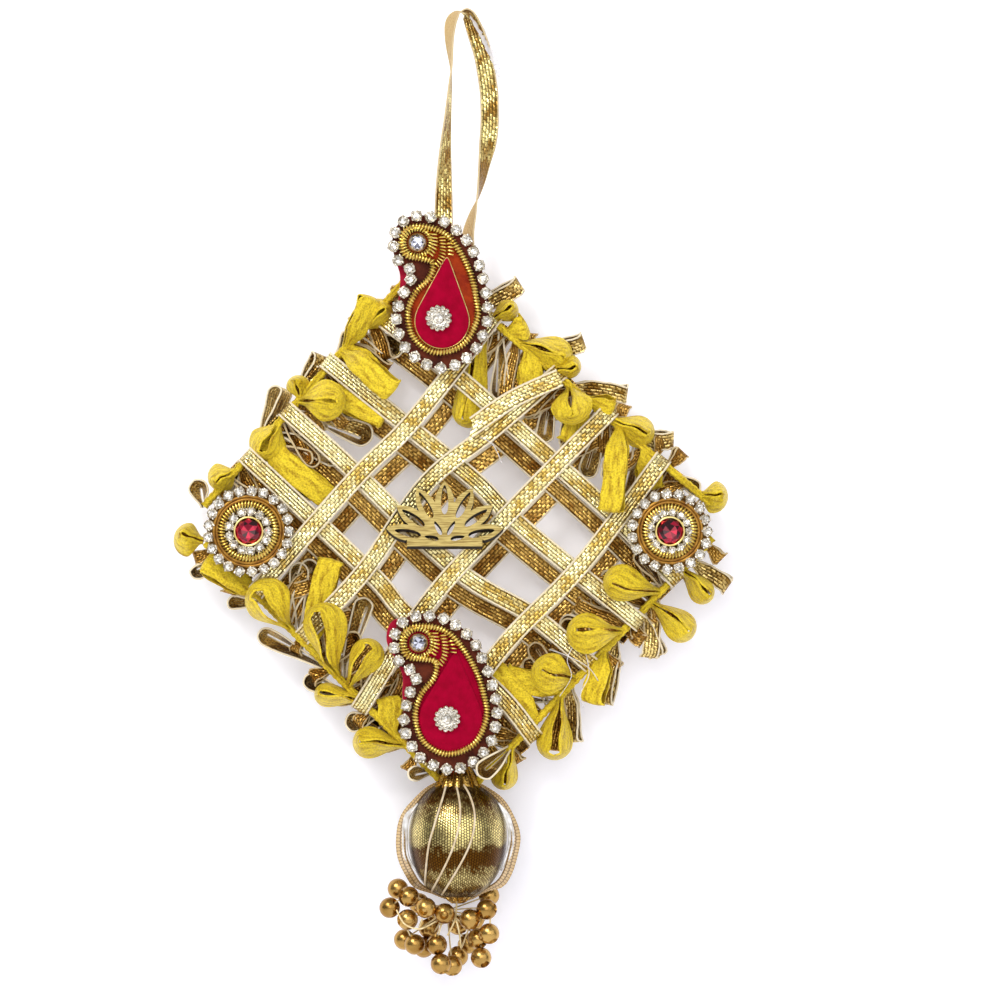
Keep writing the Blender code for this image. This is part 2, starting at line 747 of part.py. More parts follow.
def drop_outline(steps):
    """Outline of the red drop: a round end with straight sides drawn to its tip."""
    middle = Vector(DROP_MIDDLE)
    reach = Vector(DROP_TIP) - middle
    towards = math.atan2(reach[1], reach[0])
    opening = math.acos(DROP_RADIUS / reach.length)
    outline = [DROP_TIP]
    for step in range(steps + 1):
        angle = towards + opening + (2 * math.pi - 2 * opening) * step / steps
        outline.append((
            middle[0] + DROP_RADIUS * math.cos(angle),
            middle[1] + DROP_RADIUS * math.sin(angle),
        ))
    return outline


def build_patch(name, middle, turn, scale):
    """One paisley patch: red felt, brown backing, stone chain, coiled cord, red drop and crystals."""
    cos = math.cos(math.radians(turn)) * scale
    sin = math.sin(math.radians(turn)) * scale

    def placed(points):
        return [Vector((middle[0] + x * cos - z * sin, middle[1] + x * sin + z * cos)) for x, z in points]

    felt_route = placed(even_route(FELT_ROUTE, 28))
    felt_front = SEAT - FELT_THICK
    mesh_object(f"{name}_felt", slab(felt_route, felt_front, SEAT), "red_felt")

    backing_route = placed(even_route(CHAIN_ROUTE, 36))
    chain_length = 36 * (backing_route[1] - backing_route[0]).length
    stones = round(chain_length / STONE_PITCH)
    edge = []
    for index, normal in enumerate(flat_normals(backing_route, closed=True)):
        point = backing_route[index]
        chord = 0.5 * (backing_route[index - 2] + backing_route[(index + 2) % len(backing_route)])
        hollow = (point - chord).dot(normal) < 0
        edge.append(point + normal * (NOTCH_MARGIN if hollow else BACKING_MARGIN))
    backing_back = felt_front - CLEAR
    backing_front = backing_back - BACKING_THICK
    mesh_object(f"{name}_backing", slab(edge, backing_front, backing_back), "brown_felt")

    seat = backing_front - CLEAR
    chain_route = placed(even_route(CHAIN_ROUTE, 2 * stones))
    mesh_object(f"{name}_chain", chain_mesh(chain_route, seat), "clear_stone")
    mesh_object(f"{name}_cord", cord_mesh(placed(even_route(CORD_ROUTE, 32)), seat, COIL_CORD_RADIUS), "coil_cord", True)

    drop_middle = placed([DROP_MIDDLE])[0]
    mesh_object(f"{name}_drop", dome(drop_middle, placed(drop_outline(14)), seat, 1.5), "red_velvet", True)
    small_middle = placed([SMALL_CRYSTAL])[0]
    small = placed(circle(SMALL_CRYSTAL, SMALL_CRYSTAL_RADIUS, 12))
    mesh_object(f"{name}_small_crystal", dome(small_middle, small, seat, 1.8, 2), "clear_stone", True)
    round_middle = placed([(0.0, 0.0)])[0]
    crystal = placed(circle((0.0, 0.0), CRYSTAL_RADIUS, 16))
    mesh_object(f"{name}_round_crystal", dome(round_middle, crystal, seat - 1.5 - CLEAR, 1.5, 2), "clear_stone", True)


def build_medallion(name, middle, radius):
    """One round medallion: backing, stone chains, plain cord, coiled cord and ruby."""
    backing_front = SEAT - BACKING_THICK - 0.4
    mesh_object(f"{name}_backing", slab(circle(middle, radius, 24), backing_front, SEAT), "brown_felt")
    seat = backing_front - CLEAR
    outer_radius = radius - CHAIN_HALF_WIDTH
    inner_radius = 4.95
    for label, chain_radius in (("outer_chain", outer_radius), ("inner_chain", inner_radius)):
        stones = round(2 * math.pi * chain_radius / (STONE_PITCH * 0.87))
        route = [Vector(point) for point in circle(middle, chain_radius, 2 * stones)]
        chain = chain_mesh(route, seat, MEDALLION_CHAIN_HALF_WIDTH)
        mesh_object(f"{name}_{label}", chain, "clear_stone")
    cord_radius = 0.5 * (outer_radius + inner_radius)
    route = [Vector(point) for point in circle(middle, cord_radius, 24)]
    mesh_object(f"{name}_cord", cord_mesh(route, seat, 1.15), "coil_cord", True)
    mesh_object(f"{name}_ruby", dome(middle, circle(middle, 3.3, 16), seat, 2.2), "ruby_stone", True)


# Ornament

def build_ornament():
    """A cut lotus of seven slightly cupped petals on a straight foot."""
    steps = PETAL_STEPS
    heart = (ORNAMENT_MIDDLE[0], ORNAMENT_MIDDLE[1] + ORNAMENT_FOOT)
    rise = (ORNAMENT_HEIGHT - ORNAMENT_FOOT) / ORNAMENT_HEIGHT
    outline = []
    for index in range(PETALS * steps + 1):
        angle = math.pi * index / (PETALS * steps)
        size = 1 / math.hypot(math.cos(angle) / ORNAMENT_HALF_WIDTH, math.sin(angle) / ORNAMENT_HEIGHT)
        tip = 1 - abs(2 * ((index / steps) % 1.0) - 1)
        size *= PETAL_NOTCH + (1 - PETAL_NOTCH) * tip ** 0.7
        outline.append((
            heart[0] + size * math.cos(angle), heart[1] + rise * size * math.sin(angle), PETAL_CUP * tip,
        ))
    for side in (-1, 1):
        outline.append((heart[0] + side * PETAL_NOTCH * ORNAMENT_HALF_WIDTH, ORNAMENT_MIDDLE[1], PETAL_CUP))
    bm = bmesh.new()
    front, back = (
        [bm.verts.new((x, depth + towards * cup, z)) for x, z, cup in outline]
        for depth, towards in ((SEAT - ORNAMENT_THICK, 1), (SEAT, -1))
    )
    crown = bm.verts.new((heart[0], SEAT - ORNAMENT_THICK, heart[1]))
    base = bm.verts.new((heart[0], SEAT, heart[1]))
    for index in range(len(outline)):
        after = (index + 1) % len(outline)
        bm.faces.new((front[index], front[after], crown))
        bm.faces.new((back[after], back[index], base))
        bm.faces.new((front[after], front[index], back[index], back[after]))
    mesh_object("ornament", bm, "cut_board")


# Ball and beads

def build_ball():
    """The wrapped ball with its flat crown, the gathered collar above it and the gauze hoop round it."""
    crown_angle = math.degrees(math.asin(BALL_CROWN / BALL_HALF_HEIGHT))
    steps = 9
    profile = []
    for step in range(1, steps + 1):
        angle = math.radians(-90 + (90 + crown_angle) * step / steps)
        profile.append((BALL_RADIUS * math.cos(angle), BALL_HALF_HEIGHT * math.sin(angle)))
    profile.insert(0, (0.8, -BALL_HALF_HEIGHT))
    mesh_object("ball", lathe(profile, BALL_MIDDLE, 20), "mesh_ribbon", True)

    collar_foot = BALL_CROWN + CLEAR
    collar_profile = ((4.6, collar_foot), (4.9, collar_foot + 0.4), (3.4, collar_foot + 1.4))
    mesh_object("ball_collar", lathe(collar_profile, BALL_MIDDLE, 18), "gota")

    sections = []
    steps = 22
    for step in range(steps + 1):
        angle = math.radians(HOOP_END_ANGLE + (360 - 2 * HOOP_END_ANGLE) * step / steps)
        stand_off = CLEAR + RIBBON_THICK / 2 + 0.1 + HOOP_STAND_OFF * math.sin(angle) ** 2
        ends = []
        for offset in (stand_off - RIBBON_THICK / 2, stand_off + RIBBON_THICK / 2):
            x = BALL_MIDDLE[0] + (BALL_RADIUS + offset) * math.sin(angle)
            z = BALL_MIDDLE[2] + (BALL_HALF_HEIGHT + offset) * math.cos(angle)
            ends.append((x, z))
        near = BALL_MIDDLE[1] - HOOP_WIDTH / 2
        far = BALL_MIDDLE[1] + HOOP_WIDTH / 2
        (x0, z0), (x1, z1) = ends
        sections.append([(x0, near, z0), (x0, far, z0), (x1, far, z1), (x1, near, z1)])
    mesh_object("ball_hoop", loft(sections), "mesh_ribbon")


def round_bead(name, middle, radius, finish):
    """A small faceted ball."""
    bm = bmesh.new()
    bmesh.ops.create_uvsphere(bm, u_segments=6, v_segments=4, radius=radius)
    bmesh.ops.translate(bm, vec=middle, verts=bm.verts[:])
    return mesh_object(name, bm, finish, True)


def thread_mesh(start, end):
    """A straight four-sided thread between two places."""
    run = (end - start).normalized()
    side = run.cross(Vector((0, 1, 0)))
    side = side.normalized() if side.length > 0.1 else Vector((1, 0, 0))
    up = run.cross(side)
    corners = [side * THREAD_RADIUS, up * THREAD_RADIUS, -side * THREAD_RADIUS, -up * THREAD_RADIUS]
    return loft([[place + corner for corner in corners] for place in (start, end)])


def build_beads():
    """The bunch of beads on threads that start at one knot under the ball."""
    knot_place = Vector(KNOT_PLACE)
    bunch = round_bead("bead_bunch", knot_place, KNOT_RADIUS, "gold_bead")
    helpers = []
    for number, strand in enumerate(BEAD_STRANDS, 1):
        start = knot_place
        for count, place in enumerate(strand, 1):
            end = Vector(place)
            label = f"strand_{number}_{count}"
            helpers.append(mesh_object(f"{label}_thread", thread_mesh(start, end), "gold_bead"))
            helpers.append(round_bead(f"{label}_bead", end, BEAD_RADIUS, "gold_bead"))
            start = end
    union(bunch, helpers)


def main():
    clear_scene()
    for side in SIDES:
        build_trimming(side)
    build_lattice()
    build_hanging_loop()
    for name, (middle, turn, scale) in PATCHES.items():
        build_patch(name, middle, turn, scale)
    for name, (middle, radius) in MEDALLIONS.items():
        build_medallion(name, middle, radius)
    build_ornament()
    build_ball()
    build_beads()


main()
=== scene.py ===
"""Looks of the shubh labh door hanging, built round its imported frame.

Sizes are in millimetres and become metres where a mesh is made. +X runs to the right of someone
who faces the hanging, +Y runs away from them and +Z runs up. The origin is the spot inside the top
of the hanging loop that bears on a nail.
"""

import logging
import math
import random
from dataclasses import dataclass, field, replace
from enum import Enum

import bmesh
import bpy
from mathutils import Matrix, Vector

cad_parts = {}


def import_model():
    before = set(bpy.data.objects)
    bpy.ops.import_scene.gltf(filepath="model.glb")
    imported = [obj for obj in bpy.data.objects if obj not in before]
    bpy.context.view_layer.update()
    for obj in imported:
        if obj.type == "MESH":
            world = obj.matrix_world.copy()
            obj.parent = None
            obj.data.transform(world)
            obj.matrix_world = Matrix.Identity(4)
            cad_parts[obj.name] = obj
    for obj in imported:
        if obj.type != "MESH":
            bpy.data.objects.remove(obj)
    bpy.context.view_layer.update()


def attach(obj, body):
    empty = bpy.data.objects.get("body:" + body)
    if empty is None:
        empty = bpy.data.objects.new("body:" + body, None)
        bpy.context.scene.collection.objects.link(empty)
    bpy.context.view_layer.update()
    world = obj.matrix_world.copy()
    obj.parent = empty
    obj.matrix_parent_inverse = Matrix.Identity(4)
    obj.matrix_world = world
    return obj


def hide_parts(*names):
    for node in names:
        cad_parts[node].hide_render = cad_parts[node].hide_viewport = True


LOG = logging.getLogger("door_hanging")

MM = 0.001
BODY = "root"
RIBBON_UV = "ribbon"
BACK_FACE_U = 100.0
# Face attribute that holds each stone facet's painted glint tone.
FACET_GLINT = "painted_facet_glint"

# Layers, as depths of their middle
CLEAR = 0.3
SHEET_THICK = 1.0
CORE_FACE = 3.0
CORE_PARTING = 0.15
FRONT_LOWER = -(CORE_FACE + CLEAR + SHEET_THICK / 2)
FRONT_UPPER = FRONT_LOWER - SHEET_THICK - CLEAR
FRONT_TAIL = FRONT_UPPER - SHEET_THICK - CLEAR
SEAT = FRONT_UPPER - SHEET_THICK / 2 - CLEAR

Colour = tuple[float, float, float]
Point = tuple[float, float]
Point3 = tuple[float, float, float]


class Layer(Enum):
    """Where a loop of the trimming lies against the lattice."""

    OUTER = "outside the frame"
    MIDDLE = "between the lattice layers"
    OVER = "over the lattice"


class Weave(Enum):
    """The two ribbons of the trimming."""

    SATIN = "satin"
    GOTA = "gota"


# Small steps at the bench

def deselect_all() -> None:
    """Leaves object mode and deselects every object."""
    if bpy.context.mode != "OBJECT":
        bpy.ops.object.mode_set(mode="OBJECT")
    bpy.ops.object.select_all(action="DESELECT")


def take(piece: bpy.types.Object) -> bpy.types.Object:
    """Makes one object the only selected and active one.

    Args:
        piece: The object to take.

    Returns:
        The same object.
    """
    deselect_all()
    piece.select_set(True)
    bpy.context.view_layer.objects.active = piece
    return piece


def edit_faces(piece: bpy.types.Object, test) -> None:
    """Enters edit mode with only the faces selected that pass a test.

    Args:
        piece: The object to edit.
        test: Takes a face's middle and normal and says whether it is wanted.
    """
    take(piece)
    bpy.ops.object.mode_set(mode="EDIT")
    bpy.ops.mesh.select_mode(type="FACE")
    bpy.ops.mesh.select_all(action="DESELECT")
    bm = bmesh.from_edit_mesh(piece.data)
    for face in bm.faces:
        face.select_set(bool(test(face.calc_center_median(), face.normal)))
    bm.select_flush_mode()
    bmesh.update_edit_mesh(piece.data)


def leave_edit() -> None:
    """Goes back to object mode."""
    bpy.ops.object.mode_set(mode="OBJECT")


def add_modifier(piece: bpy.types.Object, kind: str, **settings: object) -> None:
    """Adds a modifier and applies it.

    Args:
        piece: The object to change.
        kind: Blender's name of the modifier's type.
        **settings: The modifier's own settings.
    """
    take(piece)
    modifier = piece.modifiers.new(kind.lower(), kind)
    for key, value in settings.items():
        setattr(modifier, key, value)
    bpy.ops.object.modifier_apply(modifier=modifier.name)


def settle(piece: bpy.types.Object) -> None:
    """Moves an object's place, turn and size into its mesh."""
    take(piece)
    bpy.ops.object.transform_apply(location=True, rotation=True, scale=True)


def join(pieces: list[bpy.types.Object], name: str) -> bpy.types.Object:
    """Joins meshes into one object.

    Args:
        pieces: The objects to join.
        name: The joined object's name.

    Returns:
        The joined object.
    """
    deselect_all()
    for piece in pieces:
        piece.select_set(True)
    bpy.context.view_layer.objects.active = pieces[0]
    if len(pieces) > 1:
        bpy.ops.object.join()
    joined = bpy.context.view_layer.objects.active
    joined.name = name
    return joined


def copies(template: bpy.types.Object, places: list[Matrix], name: str) -> bpy.types.Object:
    """Sets copies of a template at places and joins them, and takes the template away.

    Args:
        template: The object to repeat.
        places: One matrix for each copy, in metres.
        name: The joined object's name.

    Returns:
        The joined object.
    """
    made = []
    for place in places:
        copy = template.copy()
        copy.data = template.data.copy()
        copy.data.transform(place)
        bpy.context.scene.collection.objects.link(copy)
        made.append(copy)
    bpy.data.objects.remove(template, do_unlink=True)
    return join(made, name)


def finish_piece(piece: bpy.types.Object, material: bpy.types.Material,
                 nodes: tuple[str, ...] = (), smooth: bool = True) -> bpy.types.Object:
    """Dresses a piece and what it stands for, and lets it ride on the body.

    Args:
        piece: The finished object.
        material: Its material.
        nodes: The solids that the piece replaces.
        smooth: Whether its faces are shaded smooth.

    Returns:
        The same object.
    """
    settle(piece)
    if material is not None:
        piece.data.materials.clear()
        piece.data.materials.append(material)
    if smooth:
        take(piece)
        bpy.ops.object.shade_smooth_by_angle(angle=math.radians(50))
    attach(piece, BODY)
    if nodes:
        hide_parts(*nodes)
    LOG.info("%s: %d faces", piece.name, len(piece.data.polygons))
    return piece


# Routes

def smooth_step(share: float) -> float:
    """Eases from 0 to 1 as share does."""
    share = min(max(share, 0.0), 1.0)
    return share * share * (3 - 2 * share)


def smooth_route(points: list, steps: int, closed: bool = False) -> list[Vector]:
    """Points on a Catmull-Rom curve through the given ones.

    Args:
        points: The points to pass, of any dimension.
        steps: Steps between two of them.
        closed: Whether the curve joins its ends.

    Returns:
        The points of the curve.
    """
    count = len(points)
    route = []
    for span in range(count if closed else count - 1):
        if closed:
            around = [Vector(points[(span + shift) % count]) for shift in (-1, 0, 1, 2)]
        else:
            around = [Vector(points[min(max(span + shift, 0), count - 1)]) for shift in (-1, 0, 1, 2)]
        before, here, there, after = around
        for step in range(steps):
            t = step / steps
            route.append(0.5 * (
                2 * here + (there - before) * t
                + (2 * before - 5 * here + 4 * there - after) * t * t
                + (3 * here - 3 * there + after - before) * t * t * t
            ))
    if not closed:
        route.append(Vector(points[-1]))
    return route


def even_route(route: list[Vector], count: int, closed: bool = True) -> list[Vector]:
    """Points at equal distances along a route.

    Args:
        route: The fine route.
        count: Points wanted.
        closed: Whether the route joins its ends.

    Returns:
        The evenly spaced points.
    """
    fine = route + [route[0]] if closed else route
    lengths = [0.0]
    for first, second in zip(fine, fine[1:]):
        lengths.append(lengths[-1] + (second - first).length)
    spaced = []
    span = 0
    for index in range(count):
        target = lengths[-1] * index / (count if closed else count - 1)
        while span < len(lengths) - 2 and lengths[span + 1] < target:
            span += 1
        share = (target - lengths[span]) / max(lengths[span + 1] - lengths[span], 1e-9)
        spaced.append(fine[span].lerp(fine[span + 1], min(share, 1.0)))
    return spaced


def route_length(route: list[Vector], closed: bool = True) -> float:
    """Length of a route in millimetres."""
    ends = route[1:] + route[:1] if closed else route[1:]
    return sum((second - first).length for first, second in zip(route, ends))


def flat_normals(route: list[Vector], closed: bool = False) -> list[Vector]:
    """Unit normals, in the picture plane, of a route of (x, z) points."""
    normals = []
    last = len(route) - 1
    for index in range(len(route)):
        if closed:
            run = route[(index + 1) % len(route)] - route[index - 1]
        else:
            run = route[min(index + 1, last)] - route[max(index - 1, 0)]
        normals.append(Vector((-run[1], run[0])).normalized())
    return normals


def ring(middle: Point, radius: float, steps: int) -> list[Vector]:
    """Points of a circle in the picture plane."""
    turn = 2 * math.pi / steps
    return [Vector((middle[0] + radius * math.cos(turn * step), middle[1] + radius * math.sin(turn * step)))
            for step in range(steps)]


def place_at(x: float, depth: float, z: float, turn: float = 0.0, tilt: Matrix | None = None) -> Matrix:
    """A place for a template made with its face towards -Y.

    Args:
        x: Millimetres to the right.
        depth: Millimetres away from the viewer.
        z: Millimetres up.
        turn: Turn about the line of sight, in radians.
        tilt: A further turn, made first.

    Returns:
        The matrix in metres.
    """
    spin = Matrix.Rotation(turn, 4, "Y")
    return Matrix.Translation(Vector((x, depth, z)) * MM) @ spin @ (tilt or Matrix.Identity(4))


# Ribbons

@dataclass(frozen=True)
class RibbonCut:
    """Cross-section of a ribbon, with raised edges where rim is more than web."""

    width: float
    web: float
    rim: float
    rim_width: float
    bulge: float = 0.0
    spans: int = 4

    def half_outline(self) -> list[Point]:
        """Points across one face, from edge to edge, as (across, out)."""
        half = self.width / 2
        inner = half - self.rim_width
        points = [(-half, 0.3 * self.rim), (-half + 0.3 * self.rim_width, 0.5 * self.rim),
                  (-half + 0.75 * self.rim_width, 0.5 * self.rim)]
        for step in range(self.spans + 1):
            points.append((-inner + 2 * inner * step / self.spans, 0.5 * self.web))
        points += [(-across, out) for across, out in reversed(points[:3])]
        return points

    def outline(self) -> list[tuple[float, float, bool]]:
        """Points round the ribbon, as (across, out, whether on the back face)."""
        front = self.half_outline()
        return [(across, out, False) for across, out in front] + [
            (across, -out, True) for across, out in reversed(front)]


@dataclass
class RibbonFrame:
    """One station of a ribbon: its middle, half breadth, and run at its two edges."""

    middle: Vector
    breadth: Vector
    slant: Vector = field(default_factory=lambda: Vector((0, 0, 0)))


def ribbon_mesh(frames: list[RibbonFrame], cut: RibbonCut, start: float = 0.0) -> bmesh.types.BMesh:
    """Lofts a ribbon through its stations.

    Args:
        frames: The stations in order.
        cut: The cross-section.
        start: Where the weave starts along the ribbon.

    Returns:
        The closed mesh, in metres, with across and along as its UVs.
    """
    bm = bmesh.new()
    uv_layer = bm.loops.layers.uv.new(RIBBON_UV)
    outline = cut.outline()
    half = cut.width / 2
    last = len(frames) - 1
    rings, along = [], [start]
    for first, second in zip(frames, frames[1:]):
        along.append(along[-1] + (second.middle - first.middle).length)
    for index, frame in enumerate(frames):
        run = frames[min(index + 1, last)].middle - frames[max(index - 1, 0)].middle
        out_way = run.cross(frame.breadth).normalized()
        verts = []
        for across, out, _ in outline:
            share = across / half
            lift = out + cut.bulge * (1 - share * share)
            place = frame.middle + frame.breadth * share + frame.slant * share + out_way * lift
            verts.append(bm.verts.new(place * MM))
        rings.append(verts)
    count = len(outline)
    for row, (first, second) in enumerate(zip(rings, rings[1:])):
        for index in range(count):
            after = (index + 1) % count
            face = bm.faces.new((first[index], first[after], second[after], second[index]))
            back = outline[index][2] and outline[after][2]
            for loop, (corner, step) in zip(face.loops, ((index, 0), (after, 0), (after, 1), (index, 1))):
                shift = BACK_FACE_U if back else 0.0
                loop[uv_layer].uv = (outline[corner][0] + shift, along[row + step])
    for end, row in ((rings[0], 0), (rings[-1], last)):
        face = bm.faces.new(end)
        for loop, (across, _, _) in zip(face.loops, outline):
            loop[uv_layer].uv = (across, along[row])
    bmesh.ops.recalc_face_normals(bm, faces=bm.faces[:])
    return bm


def object_of(name: str, bm: bmesh.types.BMesh) -> bpy.types.Object:
    """Makes a named object of a bmesh."""
    mesh = bpy.data.meshes.new(name)
    bm.to_mesh(mesh)
    bm.free()
    piece = bpy.data.objects.new(name, mesh)
    bpy.context.scene.collection.objects.link(piece)
    return piece


def tube(name: str, points: list[Vector], radius: float, closed: bool = False,
         sides: int = 2) -> bpy.types.Object:
    """A round thread through (x, depth, z) points, drawn as a curve and made a mesh.

    Args:
        name: The object's name.
        points: The points in millimetres.
        radius: The thread's radius.
        closed: Whether its ends join.
        sides: Bevel resolution of the curve.

    Returns:
        The mesh object.
    """
    curve = bpy.data.curves.new(name, "CURVE")
    curve.dimensions = "3D"
    curve.bevel_depth = radius * MM
    curve.bevel_resolution = sides
    curve.use_fill_caps = True
    spline = curve.splines.new("POLY")
    spline.points.add(len(points) - 1)
    for slot, point in zip(spline.points, points):
        slot.co = (*(Vector(point) * MM), 1.0)
    spline.use_cyclic_u = closed
    thread = bpy.data.objects.new(name, curve)
    bpy.context.scene.collection.objects.link(thread)
    take(thread)
    bpy.ops.object.convert(target="MESH")
    return bpy.context.view_layer.objects.active


def coil(name: str, route: list[Vector], depth: float, radius: float, wire: float, pitch: float,
         closed: bool = True) -> bpy.types.Object:
    """Gold wire wound in a spring along a route in the picture plane.

    Args:
        name: The object's name.
        route: The middle line as (x, z).
        depth: The depth of the middle line.
        radius: Radius of the spring.
        wire: Radius of the wire.
        pitch: Distance between turns.
        closed: Whether the route joins its ends.

    Returns:
        The mesh object.
    """
    turns = max(3, round(route_length(route, closed) / pitch))
    steps = 9
    line = even_route(route, turns * steps, closed)
    points = []
    for index, (point, normal) in enumerate(zip(line, flat_normals(line, closed))):
        angle = 2 * math.pi * index / steps
        side = radius * math.cos(angle)
        points.append(Vector((point[0] + normal[0] * side, depth + radius * math.sin(angle),
                              point[1] + normal[1] * side)))
    return tube(name, points, wire, closed, 1)


def cut_sheet(name: str, outline: list[Vector], front: float, back: float, edge: float) -> bpy.types.Object:
    """A piece cut from sheet: its outline drawn, extruded to its thickness and its edges softened.

    Args:
        name: The object's name.
        outline: Its outline as (x, z).
        front: Depth of its front face.
        back: Depth of its back face.
        edge: How far its edges are rounded.

    Returns:
        The mesh object.
    """
    mesh = bpy.data.meshes.new(name)
    mesh.from_pydata([(x * MM, back * MM, z * MM) for x, z in outline], [], [tuple(range(len(outline)))])
    piece = bpy.data.objects.new(name, mesh)
    bpy.context.scene.collection.objects.link(piece)
    take(piece)
    bpy.ops.object.mode_set(mode="EDIT")
    bpy.ops.mesh.select_all(action="SELECT")
    bpy.ops.mesh.extrude_region_move(TRANSFORM_OT_translate={"value": (0, (front - back) * MM, 0)})
    bpy.ops.mesh.select_all(action="SELECT")
    bpy.ops.mesh.normals_make_consistent(inside=False)
    leave_edit()
    add_modifier(piece, "BEVEL", width=edge * MM, segments=2, limit_method="ANGLE",
                 angle_limit=math.radians(50))
    return piece


# Finishes

class Wiring:
    """Places shader nodes in a tree and joins them."""

    def __init__(self, tree: bpy.types.NodeTree) -> None:
        """Keeps the tree to work in."""
        self.tree = tree

    def add(self, kind: str, inputs: dict | None = None, **settings: object) -> bpy.types.Node:
        """Adds a node.

        Args:
            kind: Blender's name of the node's type.
            inputs: Values or output sockets by socket name or number.
            **settings: The node's own settings.

        Returns:
            The node.
        """
        node = self.tree.nodes.new(kind)
        for key, value in settings.items():
            setattr(node, key, value)
        for key, value in (inputs or {}).items():
            if isinstance(value, bpy.types.NodeSocket):
                self.tree.links.new(value, node.inputs[key])
            else:
                node.inputs[key].default_value = value
        return node

    def sum(self, operation: str, *values: object) -> bpy.types.NodeSocket:
        """The output of a Math node on numbers or sockets."""
        node = self.add("ShaderNodeMath", dict(enumerate(values)), operation=operation)
        return node.outputs[0]

    def blend(self, share: object, first: object, second: object) -> bpy.types.NodeSocket:
        """The output of a colour Mix node."""
        colours = [(*value, 1.0) if isinstance(value, tuple) and len(value) == 3 else value
                   for value in (first, second)]
        node = self.add("ShaderNodeMix", {0: share, 6: colours[0], 7: colours[1]}, data_type="RGBA")
        return node.outputs[2]

    def scale_range(self, value: object, low: float, high: float, start: float = 0.0,
                    end: float = 1.0) -> bpy.types.NodeSocket:
        """Maps low..high to start..end, held at its ends."""
        node = self.add("ShaderNodeMapRange", {0: value, 1: low, 2: high, 3: start, 4: end})
        return node.outputs[0]


def new_group(name: str, inputs: dict[str, str], outputs: dict[str, str]) -> bpy.types.NodeTree:
    """Makes a shader node group with named sockets.

    Args:
        name: The group's name.
        inputs: Socket types by input name.
        outputs: Socket types by output name.

    Returns:
        The group's tree.
    """
    tree = bpy.data.node_groups.new(name, "ShaderNodeTree")
    for way, sockets in (("INPUT", inputs), ("OUTPUT", outputs)):
        for label, kind in sockets.items():
            tree.interface.new_socket(label, in_out=way, socket_type=kind)
    return tree


def floats_group() -> bpy.types.NodeTree:
    """The woven floats of a ribbon: each float's tone, its dome as height, and the gaps between them."""
    found = bpy.data.node_groups.get("woven_floats")
    if found:
        return found
    tree = new_group("woven_floats", {"Place": "NodeSocketVector", "Across": "NodeSocketFloat",
                                      "Along": "NodeSocketFloat"},
                     {"Tone": "NodeSocketFloat", "Height": "NodeSocketFloat", "Gap": "NodeSocketFloat"})
    wire = Wiring(tree)
    given = wire.add("NodeGroupInput").outputs
    place = wire.add("ShaderNodeSeparateXYZ", {0: given["Place"]}).outputs
    across = wire.sum("DIVIDE", place[0], given["Across"])
    row = wire.sum("FLOOR", across)
    along = wire.sum("ADD", wire.sum("DIVIDE", place[1], given["Along"]), wire.sum("MULTIPLY", row, 0.5))
    part_across = wire.sum("MULTIPLY", wire.sum("SUBTRACT", wire.sum("FRACT", across), 0.5), 2.0)
    part_along = wire.sum("MULTIPLY", wire.sum("SUBTRACT", wire.sum("FRACT", along), 0.5), 2.0)
    round_across = wire.sum("SUBTRACT", 1.0, wire.sum("POWER", wire.sum("ABSOLUTE", part_across), 2.5))
    round_along = wire.sum("SUBTRACT", 1.0, wire.sum("POWER", wire.sum("ABSOLUTE", part_along), 3.2))
    height = wire.sum("MULTIPLY", round_across, round_along)
    cell = wire.add("ShaderNodeCombineXYZ", {0: row, 1: wire.sum("FLOOR", along)}).outputs[0]
    tone = wire.add("ShaderNodeTexWhiteNoise", {0: cell}, noise_dimensions="2D").outputs["Value"]
    gap = wire.scale_range(height, 0.12, 0.42, 1.0, 0.0)
    wire.add("NodeGroupOutput", {"Tone": tone, "Height": height, "Gap": gap})
    return tree


def grain_group() -> bpy.types.NodeTree:
    """Fine fibre grain in the piece's own space: a tone that changes slowly and a fibre height."""
    found = bpy.data.node_groups.get("fibre_grain")
    if found:
        return found
    tree = new_group("fibre_grain", {"Place": "NodeSocketVector", "Patch scale": "NodeSocketFloat",
                                     "Fibre scale": "NodeSocketFloat"},
                     {"Tone": "NodeSocketFloat", "Height": "NodeSocketFloat"})
    wire = Wiring(tree)
    given = wire.add("NodeGroupInput").outputs
    tone = wire.add("ShaderNodeTexNoise", {"Vector": given["Place"], "Scale": given["Patch scale"],
                                           "Detail": 3.0}).outputs["Fac"]
    fibre = wire.add("ShaderNodeTexNoise", {"Vector": given["Place"], "Scale": given["Fibre scale"],
                                            "Detail": 4.0, "Roughness": 0.65}).outputs["Fac"]
    wire.add("NodeGroupOutput", {"Tone": tone, "Height": fibre})
    return tree


def principled(name: str, **constants: object) -> tuple[bpy.types.Material, Wiring, bpy.types.Node]:
    """A new Principled material.

    Args:
        name: The material's name.
        **constants: Socket values, with spaces in their names written as underscores.

    Returns:
        The material, its wiring and its shader.
    """
    material = bpy.data.materials.new(name)
    material.use_nodes = True
    shader = material.node_tree.nodes["Principled BSDF"]
    for key, value in constants.items():
        shader.inputs[key.replace("_", " ")].default_value = value
    return material, Wiring(material.node_tree), shader


def bump(wire: Wiring, height: bpy.types.NodeSocket, depth: float, strength: float,
         under: bpy.types.NodeSocket | None = None) -> bpy.types.NodeSocket:
    """A Bump node's normal for a height, with its depth in millimetres."""
    inputs = {"Height": height, "Distance": depth * MM, "Strength": strength}
    if under is not None:
        inputs["Normal"] = under
    return wire.add("ShaderNodeBump", inputs).outputs[0]


def ribbon_place(wire: Wiring) -> bpy.types.NodeSocket:
    """Across and along on a ribbon, in millimetres."""
    return wire.add("ShaderNodeUVMap", uv_map=RIBBON_UV).outputs[0]


def object_place(wire: Wiring) -> bpy.types.NodeSocket:
    """The place on a piece in its own space."""
    return wire.add("ShaderNodeTexCoord").outputs["Object"]


